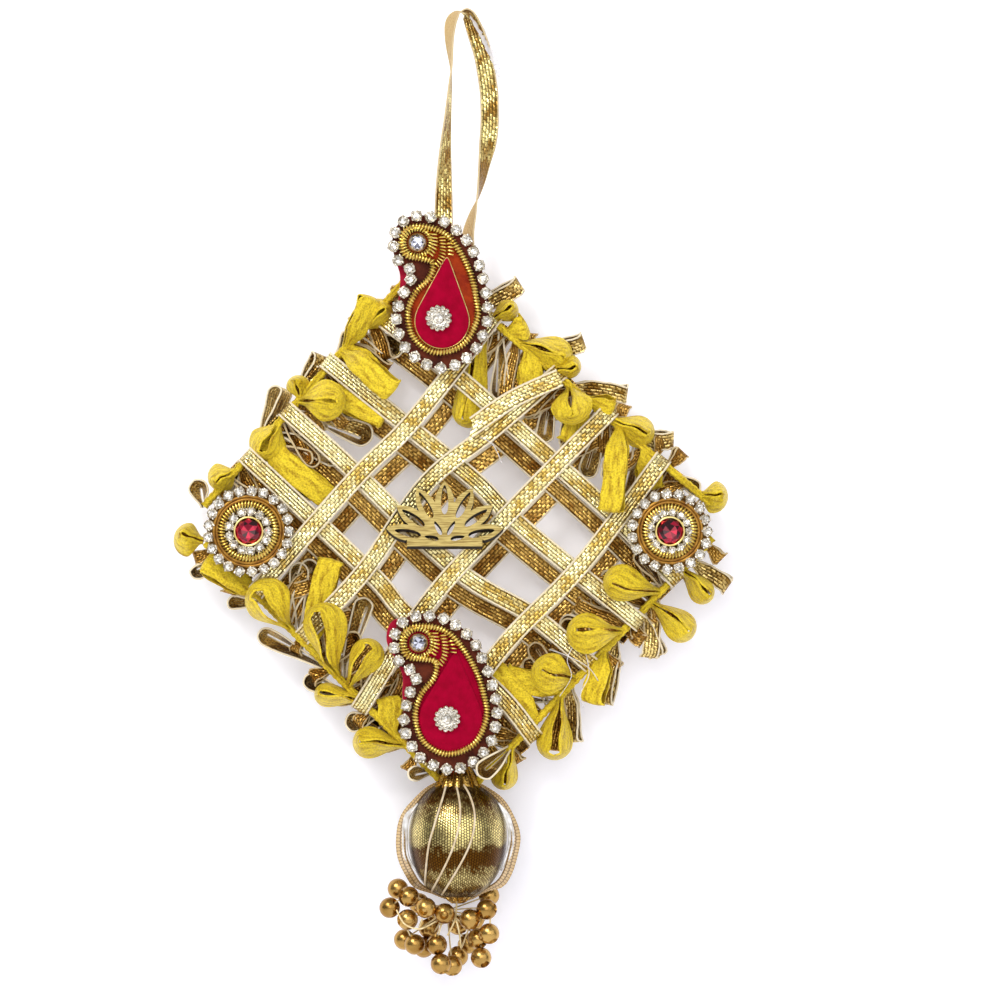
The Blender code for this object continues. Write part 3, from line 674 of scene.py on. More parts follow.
@dataclass(frozen=True)
class SatinFinish:
    """Yellow satin ribbon: fine lengthwise floats, a soft sheen, and painted shade in deeper gold along its creases and
    on the inner face of its loops.
    """

    bright: Colour = (0.94, 0.71, 0.03)
    # The deeper gold of the painted crease and inner-face shade, also the far end of the fibre grain's tone.
    grain_and_shade_gold: Colour = (0.40, 0.22, 0.003)
    across: float = 0.34
    along: float = 1.1
    crease_scale: tuple[float, float, float] = (0.9, 0.2, 1.0)

    def material(self) -> bpy.types.Material:
        """Builds the satin's material."""
        material, wire, shader = principled("yellow_satin", Roughness=0.3, Sheen_Weight=0.12,
                                            Sheen_Roughness=0.35, Sheen_Tint=(1.0, 0.85, 0.3, 1.0),
                                            Specular_IOR_Level=0.6, Specular_Tint=(1.0, 0.9, 0.4, 1.0))
        place = ribbon_place(wire)
        floats = wire.add("ShaderNodeGroup", {}, node_tree=floats_group())
        wire.tree.links.new(place, floats.inputs["Place"])
        floats.inputs["Across"].default_value = self.across
        floats.inputs["Along"].default_value = self.along
        grain = wire.add("ShaderNodeGroup", {"Place": object_place(wire)}, node_tree=grain_group())
        grain.inputs["Patch scale"].default_value = 620.0
        grain.inputs["Fibre scale"].default_value = 2400.0
        across = wire.add("ShaderNodeSeparateXYZ", {0: place}).outputs[0]
        # Painted shade: the inner face of every loop is pushed part way to the deeper gold, as the shade inside the
        # loop.
        inside = wire.sum("MULTIPLY", wire.sum("GREATER_THAN", across, BACK_FACE_U / 2), 0.3)
        drawn = wire.add("ShaderNodeMapping", {"Vector": place, "Scale": self.crease_scale}).outputs[0]
        creases = wire.add("ShaderNodeTexNoise", {"Vector": drawn, "Scale": 1.0, "Detail": 3.0}).outputs["Fac"]
        # Painted shade: the crease noise darkens the colour along the creases, on top of the inner-face shade; the
        # fibre grain added next is the ribbon's own texture.
        painted_light_and_shade = wire.sum("ADD", wire.scale_range(creases, 0.45, 0.68, 0.0, 0.7), inside)
        share = wire.sum("ADD", painted_light_and_shade, wire.scale_range(grain.outputs["Height"], 0.44, 0.62, 0.0, 0.55))
        share = wire.sum("MINIMUM", share, 1.0)
        wire.tree.links.new(wire.blend(share, self.bright, self.grain_and_shade_gold), shader.inputs["Base Color"])
        crumple = bump(wire, creases, 0.7, 0.8)
        under = bump(wire, grain.outputs["Height"], 0.45, 0.9, crumple)
        wire.tree.links.new(bump(wire, floats.outputs["Height"], 0.06, 0.6, under), shader.inputs["Normal"])
        return material


@dataclass(frozen=True)
class GotaFinish:
    """Woven metallic ribbon with brick-like floats, cream edges and a plain tan back; broad patches of painted glint
    and shade shift its colour, and each float has a tone that is partly random and partly a painted glint.
    """

    name: str
    light: Colour
    dark: Colour
    gap: Colour = (0.10, 0.05, 0.008)
    edge: Colour = (0.80, 0.69, 0.48)
    back: Colour = (0.52, 0.35, 0.14)
    width: float = 4.3
    edge_width: float = 0.38
    across: float = 0.72
    along: float = 1.5
    tan_back: bool = False
    patch_scale: float = 150.0
    # Top end of the broad painted light-and-shade patches, as a share towards the dark colour.
    painted_light_and_shade: float = 0.55

    def material(self) -> bpy.types.Material:
        """Builds the ribbon's material."""
        material, wire, shader = principled(self.name)
        place = ribbon_place(wire)
        across = wire.add("ShaderNodeSeparateXYZ", {0: place}).outputs[0]
        floats = wire.add("ShaderNodeGroup", {"Place": place}, node_tree=floats_group())
        floats.inputs["Across"].default_value = self.across
        floats.inputs["Along"].default_value = self.along
        on_back = wire.sum("GREATER_THAN", across, BACK_FACE_U / 2)
        own_across = wire.sum("SUBTRACT", across, wire.sum("MULTIPLY", on_back, BACK_FACE_U))
        edge = wire.sum("GREATER_THAN", wire.sum("ABSOLUTE", own_across), self.width / 2 - self.edge_width)
        grain = wire.add("ShaderNodeGroup", {"Place": object_place(wire)}, node_tree=grain_group())
        grain.inputs["Patch scale"].default_value = self.patch_scale
        grain.inputs["Fibre scale"].default_value = 900.0
        # Painted light and shade: broad patches push the metal towards its light or its dark colour, standing in for
        # glints and dull stretches of the metal thread; the per-float tone added next is partly random tone and partly
        # painted glint.
        painted_light_and_shade = wire.scale_range(grain.outputs["Tone"], 0.4, 0.62, -0.15, self.painted_light_and_shade)
        share = wire.sum("ADD", painted_light_and_shade, wire.scale_range(floats.outputs["Tone"], 0.0, 1.0, 0.0, 0.65))
        metal = wire.blend(share, self.light, self.dark)
        metal = wire.blend(wire.sum("MULTIPLY", floats.outputs["Gap"], 0.85), metal, self.gap)
        colour = metal
        plain = edge
        if self.tan_back:
            colour = wire.blend(on_back, colour, self.back)
            plain = wire.sum("MAXIMUM", edge, on_back)
        colour = wire.blend(edge, colour, self.edge)
        links = wire.tree.links
        links.new(colour, shader.inputs["Base Color"])
        links.new(wire.scale_range(plain, 0.0, 1.0, 0.95, 0.0), shader.inputs["Metallic"])
        rough = wire.scale_range(floats.outputs["Tone"], 0.0, 1.0, 0.2, 0.36)
        links.new(wire.sum("MAXIMUM", rough, wire.sum("MULTIPLY", plain, 0.6)), shader.inputs["Roughness"])
        tilt = wire.add("ShaderNodeTexNoise", {"Vector": place, "Scale": 0.9, "Detail": 1.0}).outputs["Fac"]
        under = bump(wire, tilt, 0.5, 0.6)
        links.new(bump(wire, floats.outputs["Height"], 0.16, 0.9, under), shader.inputs["Normal"])
        return material


@dataclass(frozen=True)
class FeltFinish:
    """Matt felt or short-pile cloth with a fibre grain."""

    name: str
    light: Colour
    dark: Colour
    depth: float = 0.3
    sheen: float = 0.3

    def material(self) -> bpy.types.Material:
        """Builds the felt's material."""
        material, wire, shader = principled(self.name, Roughness=0.92, Sheen_Weight=self.sheen,
                                            Sheen_Roughness=0.5, Specular_IOR_Level=0.06)
        grain = wire.add("ShaderNodeGroup", {"Place": object_place(wire)}, node_tree=grain_group())
        grain.inputs["Patch scale"].default_value = 420.0
        grain.inputs["Fibre scale"].default_value = 2600.0
        share = wire.scale_range(grain.outputs["Tone"], 0.35, 0.68)
        wire.tree.links.new(wire.blend(share, self.light, self.dark), shader.inputs["Base Color"])
        wire.tree.links.new(bump(wire, grain.outputs["Height"], self.depth, 0.6), shader.inputs["Normal"])
        return material


@dataclass(frozen=True)
class MetalFinish:
    """Coated metal-like surface: coil wire, cups, bezels, beads and threads."""

    name: str
    light: Colour
    dark: Colour
    roughness: float = 0.25
    metallic: float = 1.0
    patch: float = 500.0
    coat: float = 0.0

    def material(self) -> bpy.types.Material:
        """Builds the coated surface's material."""
        material, wire, shader = principled(self.name, Metallic=self.metallic, Coat_Weight=self.coat,
                                            Coat_Roughness=0.12)
        grain = wire.add("ShaderNodeGroup", {"Place": object_place(wire)}, node_tree=grain_group())
        grain.inputs["Patch scale"].default_value = self.patch
        grain.inputs["Fibre scale"].default_value = 3.0 * self.patch
        share = wire.scale_range(grain.outputs["Tone"], 0.35, 0.68)
        wire.tree.links.new(wire.blend(share, self.light, self.dark), shader.inputs["Base Color"])
        rough = wire.scale_range(grain.outputs["Height"], 0.3, 0.7, self.roughness, self.roughness + 0.12)
        wire.tree.links.new(rough, shader.inputs["Roughness"])
        return material


@dataclass(frozen=True)
class StoneFinish:
    """Foil-backed cut stone: each facet has a painted glint tone of its own, between a dim and a bright colour."""

    name: str
    bright: Colour
    dim: Colour
    metallic: float = 0.55
    coat: float = 1.0

    def material(self) -> bpy.types.Material:
        """Builds the stone's material."""
        material, wire, shader = principled(self.name, Roughness=0.06, Metallic=self.metallic,
                                            Coat_Weight=self.coat, Coat_Roughness=0.02, IOR=1.6)
        tone = wire.add("ShaderNodeAttribute", attribute_name=FACET_GLINT).outputs["Fac"]
        # Painted glints: each facet's stored tone mixes between the dim and the bright colour.
        wire.tree.links.new(wire.blend(tone, self.dim, self.bright), shader.inputs["Base Color"])
        return material


@dataclass(frozen=True)
class BoardFinish:
    """Cut board: a brushed pale-gold face with level lines, near-black cut walls that are partly the scorched edge of
    the cut and partly painted shade in the openings, and a plain back.
    """

    face: Colour = (0.52, 0.40, 0.13)
    line: Colour = (0.26, 0.17, 0.04)
    burnt_edge_and_shade: Colour = (0.018, 0.010, 0.005)
    back: Colour = (0.24, 0.15, 0.07)

    def material(self) -> bpy.types.Material:
        """Builds the board's material."""
        material, wire, shader = principled("brushed_board")
        place = object_place(wire)
        drawn = wire.add("ShaderNodeMapping", {"Vector": place, "Scale": (260.0, 260.0, 4200.0)}).outputs[0]
        brushed = wire.add("ShaderNodeTexNoise", {"Vector": drawn, "Scale": 1.0, "Detail": 3.0}).outputs["Fac"]
        front = wire.add("ShaderNodeSeparateXYZ",
                         {0: wire.add("ShaderNodeNewGeometry").outputs["Normal"]}).outputs[1]
        on_face = wire.scale_range(front, -0.75, -0.9)
        face = wire.blend(wire.scale_range(brushed, 0.42, 0.62), self.face, self.line)
        links = wire.tree.links
        # Painted shade: the cut walls take the near-black colour, partly the scorched edge of the cut and partly the
        # shade inside the openings.
        behind = wire.blend(wire.scale_range(front, 0.75, 0.9), self.burnt_edge_and_shade, self.back)
        links.new(wire.blend(on_face, behind, face), shader.inputs["Base Color"])
        links.new(wire.sum("MULTIPLY", on_face, 0.55), shader.inputs["Metallic"])
        links.new(wire.scale_range(on_face, 0.0, 1.0, 0.8, 0.42), shader.inputs["Roughness"])
        links.new(bump(wire, brushed, 0.08, 0.4), shader.inputs["Normal"])
        return material


@dataclass(frozen=True)
class MeshRibbonFinish:
    """Fine gold mesh ribbon: small round floats on a dark ground, with a painted reflection by height where one is
    given.
    """

    name: str
    light: Colour
    dark: Colour
    gap: Colour
    across: float = 0.69
    along: float = 0.8
    metallic: float = 1.0
    roughness: float = 0.2
    # Painted reflection: heights in millimetres with the share of the dark colour at each; empty for none.
    painted_bands: tuple[tuple[float, float], ...] = ()

    def shade(self, wire: Wiring) -> bpy.types.NodeSocket:
        """Painted reflection: how far the ribbon's tone goes towards its dark colour at each height of the piece, a
        bright band and dark banding that stand in for the room seen in the metal.
        """
        ramp = wire.add("ShaderNodeValToRGB")
        low, high = self.painted_bands[0][0], self.painted_bands[-1][0]
        stops = ramp.color_ramp.elements
        while len(stops) < len(self.painted_bands):
            stops.new(0.5)
        for stop, (height, tone) in zip(stops, self.painted_bands):
            stop.position = (height - low) / (high - low)
            stop.color = (tone, tone, tone, 1.0)
        ramp.color_ramp.interpolation = "EASE"
        height = wire.add("ShaderNodeSeparateXYZ", {0: object_place(wire)}).outputs[2]
        wavy = wire.add("ShaderNodeTexNoise", {"Vector": object_place(wire), "Scale": 160.0}).outputs["Fac"]
        level = wire.sum("ADD", height, wire.sum("MULTIPLY", wire.sum("SUBTRACT", wavy, 0.5), 7.0 * MM))
        wire.tree.links.new(wire.scale_range(level, low * MM, high * MM), ramp.inputs[0])
        return ramp.outputs[0]

    def material(self) -> bpy.types.Material:
        """Builds the mesh ribbon's material."""
        material, wire, shader = principled(self.name, Metallic=self.metallic)
        floats = wire.add("ShaderNodeGroup", {"Place": ribbon_place(wire)}, node_tree=floats_group())
        floats.inputs["Across"].default_value = self.across
        floats.inputs["Along"].default_value = self.along
        share = wire.sum("MULTIPLY", floats.outputs["Tone"], 0.4)
        gap = wire.scale_range(floats.outputs["Height"], 0.25, 0.62, 1.0, 0.0)
        if self.painted_bands:
            # Painted reflection: the banding by height darkens and lightens the ribbon's colour.
            share = wire.sum("ADD", share, self.shade(wire))
            gap = wire.scale_range(floats.outputs["Height"], 0.34, 0.72, 1.0, 0.0)
        metal = wire.blend(share, self.light, self.dark)
        colour = wire.blend(wire.sum("MULTIPLY", gap, 0.92), metal, self.gap)
        wire.tree.links.new(colour, shader.inputs["Base Color"])
        rough = wire.scale_range(floats.outputs["Gap"], 0.0, 1.0, self.roughness, 0.6)
        wire.tree.links.new(rough, shader.inputs["Roughness"])
        wire.tree.links.new(bump(wire, floats.outputs["Height"], 0.05, 0.6), shader.inputs["Normal"])
        return material


@dataclass(frozen=True)
class GlueFinish:
    """Clear set glue: a thin cloudy film."""

    alpha: float = 0.5

    def material(self) -> bpy.types.Material:
        """Builds the glue's material."""
        material, wire, shader = principled("set_glue", Roughness=0.25, Alpha=self.alpha,
                                            Base_Color=(0.85, 0.83, 0.84, 1.0))
        grain = wire.add("ShaderNodeGroup", {"Place": object_place(wire)}, node_tree=grain_group())
        grain.inputs["Patch scale"].default_value = 500.0
        grain.inputs["Fibre scale"].default_value = 1200.0
        wire.tree.links.new(bump(wire, grain.outputs["Height"], 0.3, 0.7), shader.inputs["Normal"])
        return material


class Finishes:
    """Every finish of the hanging, made once."""

    def __init__(self) -> None:
        """Builds all materials."""
        self.satin = SatinFinish().material()
        self.gota = GotaFinish("gota_ribbon", (1.0, 0.92, 0.48), (0.52, 0.34, 0.07)).material()
        # Painted shade: the ribbons behind the frame take a darker copy of the lattice gota, standing in for the shade
        # they lie in.
        self.gota_back_shaded = GotaFinish("gota_ribbon_behind_shaded", (0.74, 0.47, 0.12), (0.22, 0.09, 0.012)).material()
        self.gota_loops = GotaFinish("gota_loops", (0.92, 0.70, 0.26), (0.22, 0.11, 0.016)).material()
        # Painted shade: the filling loops deep between the others take a darker copy of the gota, with darker edges,
        # standing in for the shade they lie in.
        self.gota_inner_shaded = GotaFinish("gota_inner_loops", (0.62, 0.36, 0.08), (0.20, 0.08, 0.008),
                                    edge=(0.62, 0.48, 0.26)).material()
        self.gota_hanging = GotaFinish("gota_hanging", (1.0, 0.86, 0.34), (0.30, 0.16, 0.03),
                                       tan_back=True, edge=(0.62, 0.48, 0.26), edge_width=0.26,
                                       patch_scale=120.0, painted_light_and_shade=1.0).material()
        self.red_felt = FeltFinish("red_felt", (0.42, 0.008, 0.035), (0.26, 0.002, 0.016)).material()
        self.brown_felt = FeltFinish("brown_felt", (0.12, 0.022, 0.008), (0.04, 0.007, 0.004)).material()
        self.golden_felt = FeltFinish("golden_felt", (0.20, 0.10, 0.016), (0.09, 0.035, 0.006)).material()
        self.rust_felt = FeltFinish("rust_felt", (0.34, 0.035, 0.003), (0.17, 0.008, 0.002)).material()
        self.velvet = FeltFinish("crimson_velvet", (0.33, 0.0, 0.022), (0.25, 0.0, 0.015), 0.06, 0.03).material()
        self.coil = MetalFinish("coil_wire", (0.96, 0.78, 0.22), (0.62, 0.42, 0.07), 0.26).material()
        self.plain_cord = MetalFinish("brown_gold_cord", (0.42, 0.22, 0.035), (0.20, 0.08, 0.012), 0.34, 0.8).material()
        self.bezel = MetalFinish("gold_bezel", (0.88, 0.74, 0.30), (0.66, 0.48, 0.13), 0.25).material()
        self.cup = MetalFinish("silver_cup", (0.88, 0.83, 0.73), (0.46, 0.39, 0.28), 0.2).material()
        self.bead = MetalFinish("antique_gold", (0.54, 0.335, 0.10), (0.30, 0.16, 0.035), 0.2, 1.0, 90.0).material()
        self.thread = MetalFinish("pale_thread", (0.80, 0.66, 0.38), (0.55, 0.40, 0.16), 0.45, 0.5).material()
        self.cream = MetalFinish("cream_thread", (0.72, 0.60, 0.42), (0.58, 0.44, 0.26), 0.6, 0.0).material()
        # Stone colours: dim and bright are the ends of the painted facet glints.
        self.stone = StoneFinish("clear_stone", (1.0, 0.98, 0.92), (0.30, 0.26, 0.20)).material()
        self.lilac_stone = StoneFinish("lilac_stone", (0.74, 0.76, 0.90), (0.05, 0.05, 0.075)).material()
        self.ruby = StoneFinish("ruby_stone", (0.46, 0.0, 0.03), (0.03, 0.0, 0.002), 0.6, 0.35).material()
        self.board = BoardFinish().material()
        # Painted reflection on the ball: each height in millimetres with its share of the near-black dark colour, a
        # bright band near the middle and dark banding above and below it.
        ball_painted_bands = ((-212.5, 0.7), (-207.0, 0.4), (-202.6, 1.0), (-200.4, 0.85), (-198.0, 0.1), (-194.4, 0.0),
                      (-191.0, 0.5), (-187.5, 0.75), (-183.5, 0.5))
        self.ball_ribbon = MeshRibbonFinish("ball_ribbon", (1.0, 0.84, 0.34), (0.11, 0.045, 0.006),
                                            (0.03, 0.011, 0.002), metallic=1.0, roughness=0.22,
                                            painted_bands=ball_painted_bands).material()
        self.mesh_ribbon = MeshRibbonFinish("mesh_ribbon", (0.80, 0.50, 0.12), (0.42, 0.22, 0.04),
                                            (0.08, 0.035, 0.005)).material()
        self.gauze = MeshRibbonFinish("gauze_ribbon", (0.66, 0.46, 0.20), (0.50, 0.32, 0.11),
                                      (0.16, 0.08, 0.02), 3.0, 0.75, 0.3, 0.4).material()
        self.film = MetalFinish("silver_film", (0.93, 0.92, 0.90), (0.52, 0.47, 0.40), 0.12, 0.3).material()
        self.glue = GlueFinish().material()


# Trimming

ROOT_DEPTH = 1.65
ROOT_HALF_WIDTH = 0.9
ROOT_HALF_GAP = 0.35
SPREAD_LENGTH = 5.0
MIDDLE_REACH = 1.5
EDGE_ON = 20.0
NECK_STEPS = 8
TIP_STEPS = 6


@dataclass(frozen=True)
class Loop:
    """One bent ribbon of the trimming.

    at is its place along the side, heading and reach are its direction and length, gap is the
    opening at its near edge, splay is how much wider its far edge opens on each side, and roll
    turns it from edge on (0) to face on (90).
    """

    at: float
    heading: float
    reach: float
    gap: float = 2.0
    splay: float = 0.0
    roll: float = 0.0
    layer: Layer = Layer.OUTER

    def stations(self, reach: float, gap: float) -> list[Point]:
        """Places on one edge: the way to the tip, and the offset to the side.

        Args:
            reach: The edge's reach.
            gap: Its opening.

        Returns:
            The places from the root round the tip and back.
        """
        tip_radius = gap / 2
        neck = max(reach - tip_radius, 0.5 * reach)
        half = []
        for step in range(NECK_STEPS):
            share = step / NECK_STEPS
            half.append((share * neck, ROOT_HALF_GAP + (tip_radius - ROOT_HALF_GAP) * smooth_step(share)))
        for step in range(TIP_STEPS):
            angle = 0.5 * math.pi * step / TIP_STEPS
            half.append((neck + (reach - neck) * math.sin(angle), tip_radius * math.cos(angle)))
        return half + [(reach, 0.0)] + [(along, -offset) for along, offset in reversed(half)]

    def frames(self, root: Vector, width: float, root_depth: float, chance: random.Random) -> list[RibbonFrame]:
        """The stations of the loop's ribbon.

        Args:
            root: Its root in the picture plane.
            width: The ribbon's width.
            root_depth: Depth of its root.
            chance: Seeded source of the small unevenness of handwork.

        Returns:
            The ribbon's stations.
        """
        roll = math.radians(self.roll)
        rise = math.sqrt(max(width ** 2 - self.splay ** 2, 4.0)) / 2
        if self.layer is Layer.MIDDLE and self.roll == 0:
            rise = MIDDLE_REACH
        stand = rise * math.cos(roll) + (self.gap / 2 + self.splay + SHEET_THICK / 2) * math.sin(roll)
        depth = {
            Layer.OUTER: math.copysign(1.0, root_depth) * (CORE_PARTING + stand),
            Layer.MIDDLE: root_depth,
            Layer.OVER: SEAT - CLEAR - stand,
        }[self.layer]
        angle = math.radians(self.heading)
        ahead = Vector((math.cos(angle), 0, math.sin(angle)))
        across = Vector((-math.sin(angle), 0, math.cos(angle)))
        behind = Vector((0, 1, 0))
        opening = across * math.cos(roll) + behind * math.sin(roll)
        breadth = behind * math.cos(roll) - across * math.sin(roll)
        if self.splay > 0:
            near = self.stations(self.reach - 0.5 * self.splay, max(0.5, self.gap - 1.4))
            far = self.stations(self.reach, self.gap + 2 * self.splay)
        else:
            near = self.stations(self.reach, self.gap)
            far = self.stations(self.reach + self.splay, max(0.6, self.gap + 2 * self.splay))
        sway, phase = chance.uniform(-0.5, 0.5), chance.uniform(0, 2 * math.pi)
        skew = chance.uniform(-0.5, 0.5) * self.splay
        ripple = 0.3 if self.splay > 0 else 0.08
        frames = []
        for index, (here, there) in enumerate(zip(near, far)):
            ease = smooth_step(here[0] / SPREAD_LENGTH)
            level = behind * (root_depth + (depth - root_depth) * ease)
            half = ROOT_HALF_WIDTH + (rise - ROOT_HALF_WIDTH) * ease * (1 + 0.07 * math.sin(1.9 * index + phase))
            drift = opening * sway * ease + breadth * 0.3 * ease * math.sin(0.55 * index + phase)
            slip = opening * (skew + ripple * math.sin(1.1 * index + 2 * phase)) * ease
            first = root + level + drift + slip + ahead * here[0] + opening * here[1] - breadth * half
            second = root + level + drift + ahead * there[0] + opening * there[1] + breadth * half
            frames.append(RibbonFrame((first + second) / 2, (second - first) / 2))
        return frames


@dataclass
class FrameSide:
    """One straight side of the frame with its satin and gota trimming."""

    name: str
    start: Point
    end: Point
    satin: tuple[Loop, ...]
    gota: tuple[Loop, ...]
    satin_cut: RibbonCut = RibbonCut(5.8, 0.34, 0.42, 0.5, bulge=0.35, spans=5)
    gota_cut: RibbonCut = RibbonCut(4.3, 0.28, 0.46, 0.32, spans=3)
    core_radius: float = 1.0
    corner_room: float = 6.0

    def length(self) -> float:
        """Length of the side."""
        return math.dist(self.start, self.end)

    def point(self, at: float) -> Vector:
        """The place a distance along the side, in the picture plane."""
        share = at / self.length()
        x, z = (a + (b - a) * share for a, b in zip(self.start, self.end))
        return Vector((x, 0, z))

    def core(self, depth: float) -> bmesh.types.BMesh:
        """One wound half of the side's core, with a ridge for each turn of its ribbon."""
        steps = int(self.length() / 0.9)
        run = (self.point(self.length()) - self.point(0)).normalized()
        out_way = run.cross(Vector((0, 1, 0)))
        frames = []
        for step in range(steps + 1):
            at = self.corner_room + (self.length() - 2 * self.corner_room) * step / steps
            ridge = 0.9 + 0.1 * math.cos(math.pi * step)
            frames.append(RibbonFrame(self.point(at) + Vector((0, depth, 0)), out_way * self.core_radius * ridge))
        return ribbon_mesh(frames, RibbonCut(4.3, 1.9, 1.2, 0.7, bulge=0.0))

    def trimming(self, weave: Weave) -> bpy.types.Object:
        """Builds the run of loops of one ribbon.

        Args:
            weave: Which ribbon.

        Returns:
            The joined mesh object.
        """
        satin = weave is Weave.SATIN
        loops, cut = (self.satin, self.satin_cut) if satin else (self.gota, self.gota_cut)
        root_depth = -ROOT_DEPTH if satin else ROOT_DEPTH
        chance = random.Random(f"{self.name} {weave.value}")
        made = [object_of("core", self.core(root_depth))] if satin else []
        for loop in loops:
            if not satin and loop.roll <= EDGE_ON and loop.splay == 0:
                loop = replace(loop, gap=loop.gap + 1.8, splay=-0.5 * (loop.gap + 1.3))
            frames = loop.frames(self.point(loop.at), cut.width, root_depth, chance)
            made.append(object_of("loop", ribbon_mesh(frames, cut, chance.uniform(0, 9))))
        return join(made, f"{self.name}_{weave.value}_loops")

    def filling(self) -> bpy.types.Object:
        """Builds the core's back half and the short gota loops that crowd between the others."""
        chance = random.Random(f"{self.name} filling")
        made = [object_of("core", self.core(ROOT_DEPTH))]
        run = self.point(self.length()) - self.point(0)
        along = math.degrees(math.atan2(run.z, run.x))
        inward = along - 90
        for loop in self.satin:
            if loop.splay > 0:
                tongue = Loop(loop.at, loop.heading, 0.86 * loop.reach, gap=1.0, roll=86, layer=Layer.MIDDLE)
                frames = tongue.frames(self.point(loop.at), 3.9, 0.4 * ROOT_DEPTH, chance)
                made.append(object_of("loop", ribbon_mesh(frames, self.gota_cut, chance.uniform(0, 9))))
        at = 8.0
        while at < self.length() - 7.0:
            for side, low, high, odds in ((0, 8.5, 14.0, 1.0), (180, 3.5, 5.5, 0.3)):
                if chance.random() > odds:
                    continue
                gap = chance.uniform(3.2, 4.4)
                flat = chance.random() < 0.85 or side > 0
                loop = Loop(at + chance.uniform(-1, 1), inward + side + chance.uniform(-36, 36),
                            chance.uniform(low, high), gap=1.6 if flat else gap,
                            splay=0.0 if flat else 0.3 - 0.5 * gap, roll=chance.uniform(64, 86) if flat else 0,
                            layer=Layer.MIDDLE)
                frames = loop.frames(self.point(loop.at), 3.9, ROOT_DEPTH * chance.uniform(0.2, 1.2), chance)
                made.append(object_of("loop", ribbon_mesh(frames, self.gota_cut, chance.uniform(0, 9))))
            at += 3.6
        return join(made, f"{self.name}_inner_loops")

    def build(self, finishes: Finishes) -> None:
        """Builds and dresses both runs of loops and what fills the room between them."""
        finish_piece(self.trimming(Weave.SATIN), finishes.satin, (f"{self.name}_satin_trim",))
        finish_piece(self.trimming(Weave.GOTA), finishes.gota_loops, (f"{self.name}_gota_trim",))
        # The filling is dressed in the darker painted-shade copy of the gota.
        finish_piece(self.filling(), finishes.gota_inner_shaded)


FRAME_LEFT = (-65.8, -122.6)
FRAME_TOP = (-9.6, -59.5)
FRAME_RIGHT = (64.3, -121.4)
FRAME_BOTTOM = (-0.5, -188.6)

UPPER_LEFT = FrameSide(
    "upper_left", FRAME_LEFT, FRAME_TOP,
    satin=(
        Loop(17.5, -148, 7.0, splay=2.5),
        Loop(26.5, -40, 21.0, roll=90, layer=Layer.MIDDLE),
        Loop(39.8, -3, 11.5, splay=4.0, layer=Layer.OVER),
        Loop(33.0, -121, 10.0, gap=3.0, splay=3.2),
        Loop(40.5, 93, 5.5, splay=1.8),
        Loop(44.5, -22, 19.0, roll=90, layer=Layer.MIDDLE),
        Loop(55.8, -38, 15.5, roll=70, layer=Layer.OVER),
        Loop(57.8, -50, 10.5, roll=90, layer=Layer.MIDDLE),
        Loop(57.0, 66, 13.4, gap=2.5, splay=1.0, roll=50),
        Loop(62.5, 48, 9.2, splay=2.5),
    ),
    gota=(
        Loop(5.5, 98, 7.0, gap=3.0, roll=10),
        Loop(19.0, -118, 9.2, roll=15),
        Loop(21.5, -27, 19.5, layer=Layer.MIDDLE),
        Loop(26.5, 68, 14.0, gap=4.0, roll=40),
        Loop(30.0, -24, 18.0, gap=3.6, layer=Layer.MIDDLE),
        Loop(36.5, -21, 21.0, gap=4.2, layer=Layer.MIDDLE),
        Loop(41.5, 67, 10.7, gap=3.0, roll=60),
        Loop(47.0, -30, 15.5, gap=3.6, layer=Layer.MIDDLE),
        Loop(53.5, 60, 7.8, gap=1.8, roll=15),
        Loop(61.5, -24, 11.5, gap=3.6, layer=Layer.MIDDLE),
    ),
)

UPPER_RIGHT = FrameSide(
    "upper_right", FRAME_TOP, FRAME_RIGHT,
    satin=(
        Loop(19.5, -100, 27.5, splay=3.0, layer=Layer.MIDDLE),
        Loop(21.5, 28, 7.0, splay=1.5),
        Loop(26.5, 24, 5.0, splay=1.0, roll=60),
        Loop(30.0, -22, 13.5, splay=3.4),
        Loop(33.0, -84, 11.0, roll=90, layer=Layer.MIDDLE),
        Loop(40.5, 18, 7.0, splay=1.8),
        Loop(46.0, -78, 9.5, splay=4.0, layer=Layer.OVER),
        Loop(51.5, -20, 6.5, roll=60),
        Loop(51.5, -112, 11.0, roll=90, layer=Layer.MIDDLE),
        Loop(58.5, -22, 11.5, splay=2.8),
        Loop(62.0, -97, 20.0, roll=65, layer=Layer.OVER),
        Loop(69.5, -80, 9.8, roll=90, layer=Layer.MIDDLE),
        Loop(87.0, -12, 6.6, splay=2.8),
    ),
    gota=(
        Loop(18.0, 33, 11.6, roll=80),
        Loop(24.5, -92, 17.5, gap=2.6, layer=Layer.MIDDLE),
        Loop(29.0, -86, 14.4, gap=3.0, layer=Layer.MIDDLE),
        Loop(35.5, 19, 12.2, roll=70),
        Loop(41.5, -98, 17.0, gap=2.6, layer=Layer.MIDDLE),
        Loop(45.5, -90, 16.0, gap=2.6, layer=Layer.MIDDLE),
        Loop(46.5, -8, 13.7, gap=2.2, roll=80),
        Loop(56.5, -106, 16.0, gap=2.8, layer=Layer.MIDDLE),
        Loop(60.5, -94, 14.5, gap=2.4, layer=Layer.MIDDLE),
        Loop(66.5, -1, 9.4, gap=2.2, roll=80),
        Loop(67.0, -106, 17.0, gap=2.8, layer=Layer.MIDDLE),
        Loop(71.5, -104, 12.5, gap=2.6, layer=Layer.MIDDLE),
        Loop(79.5, -40, 7.0, gap=2.0, roll=10),
    ),
)

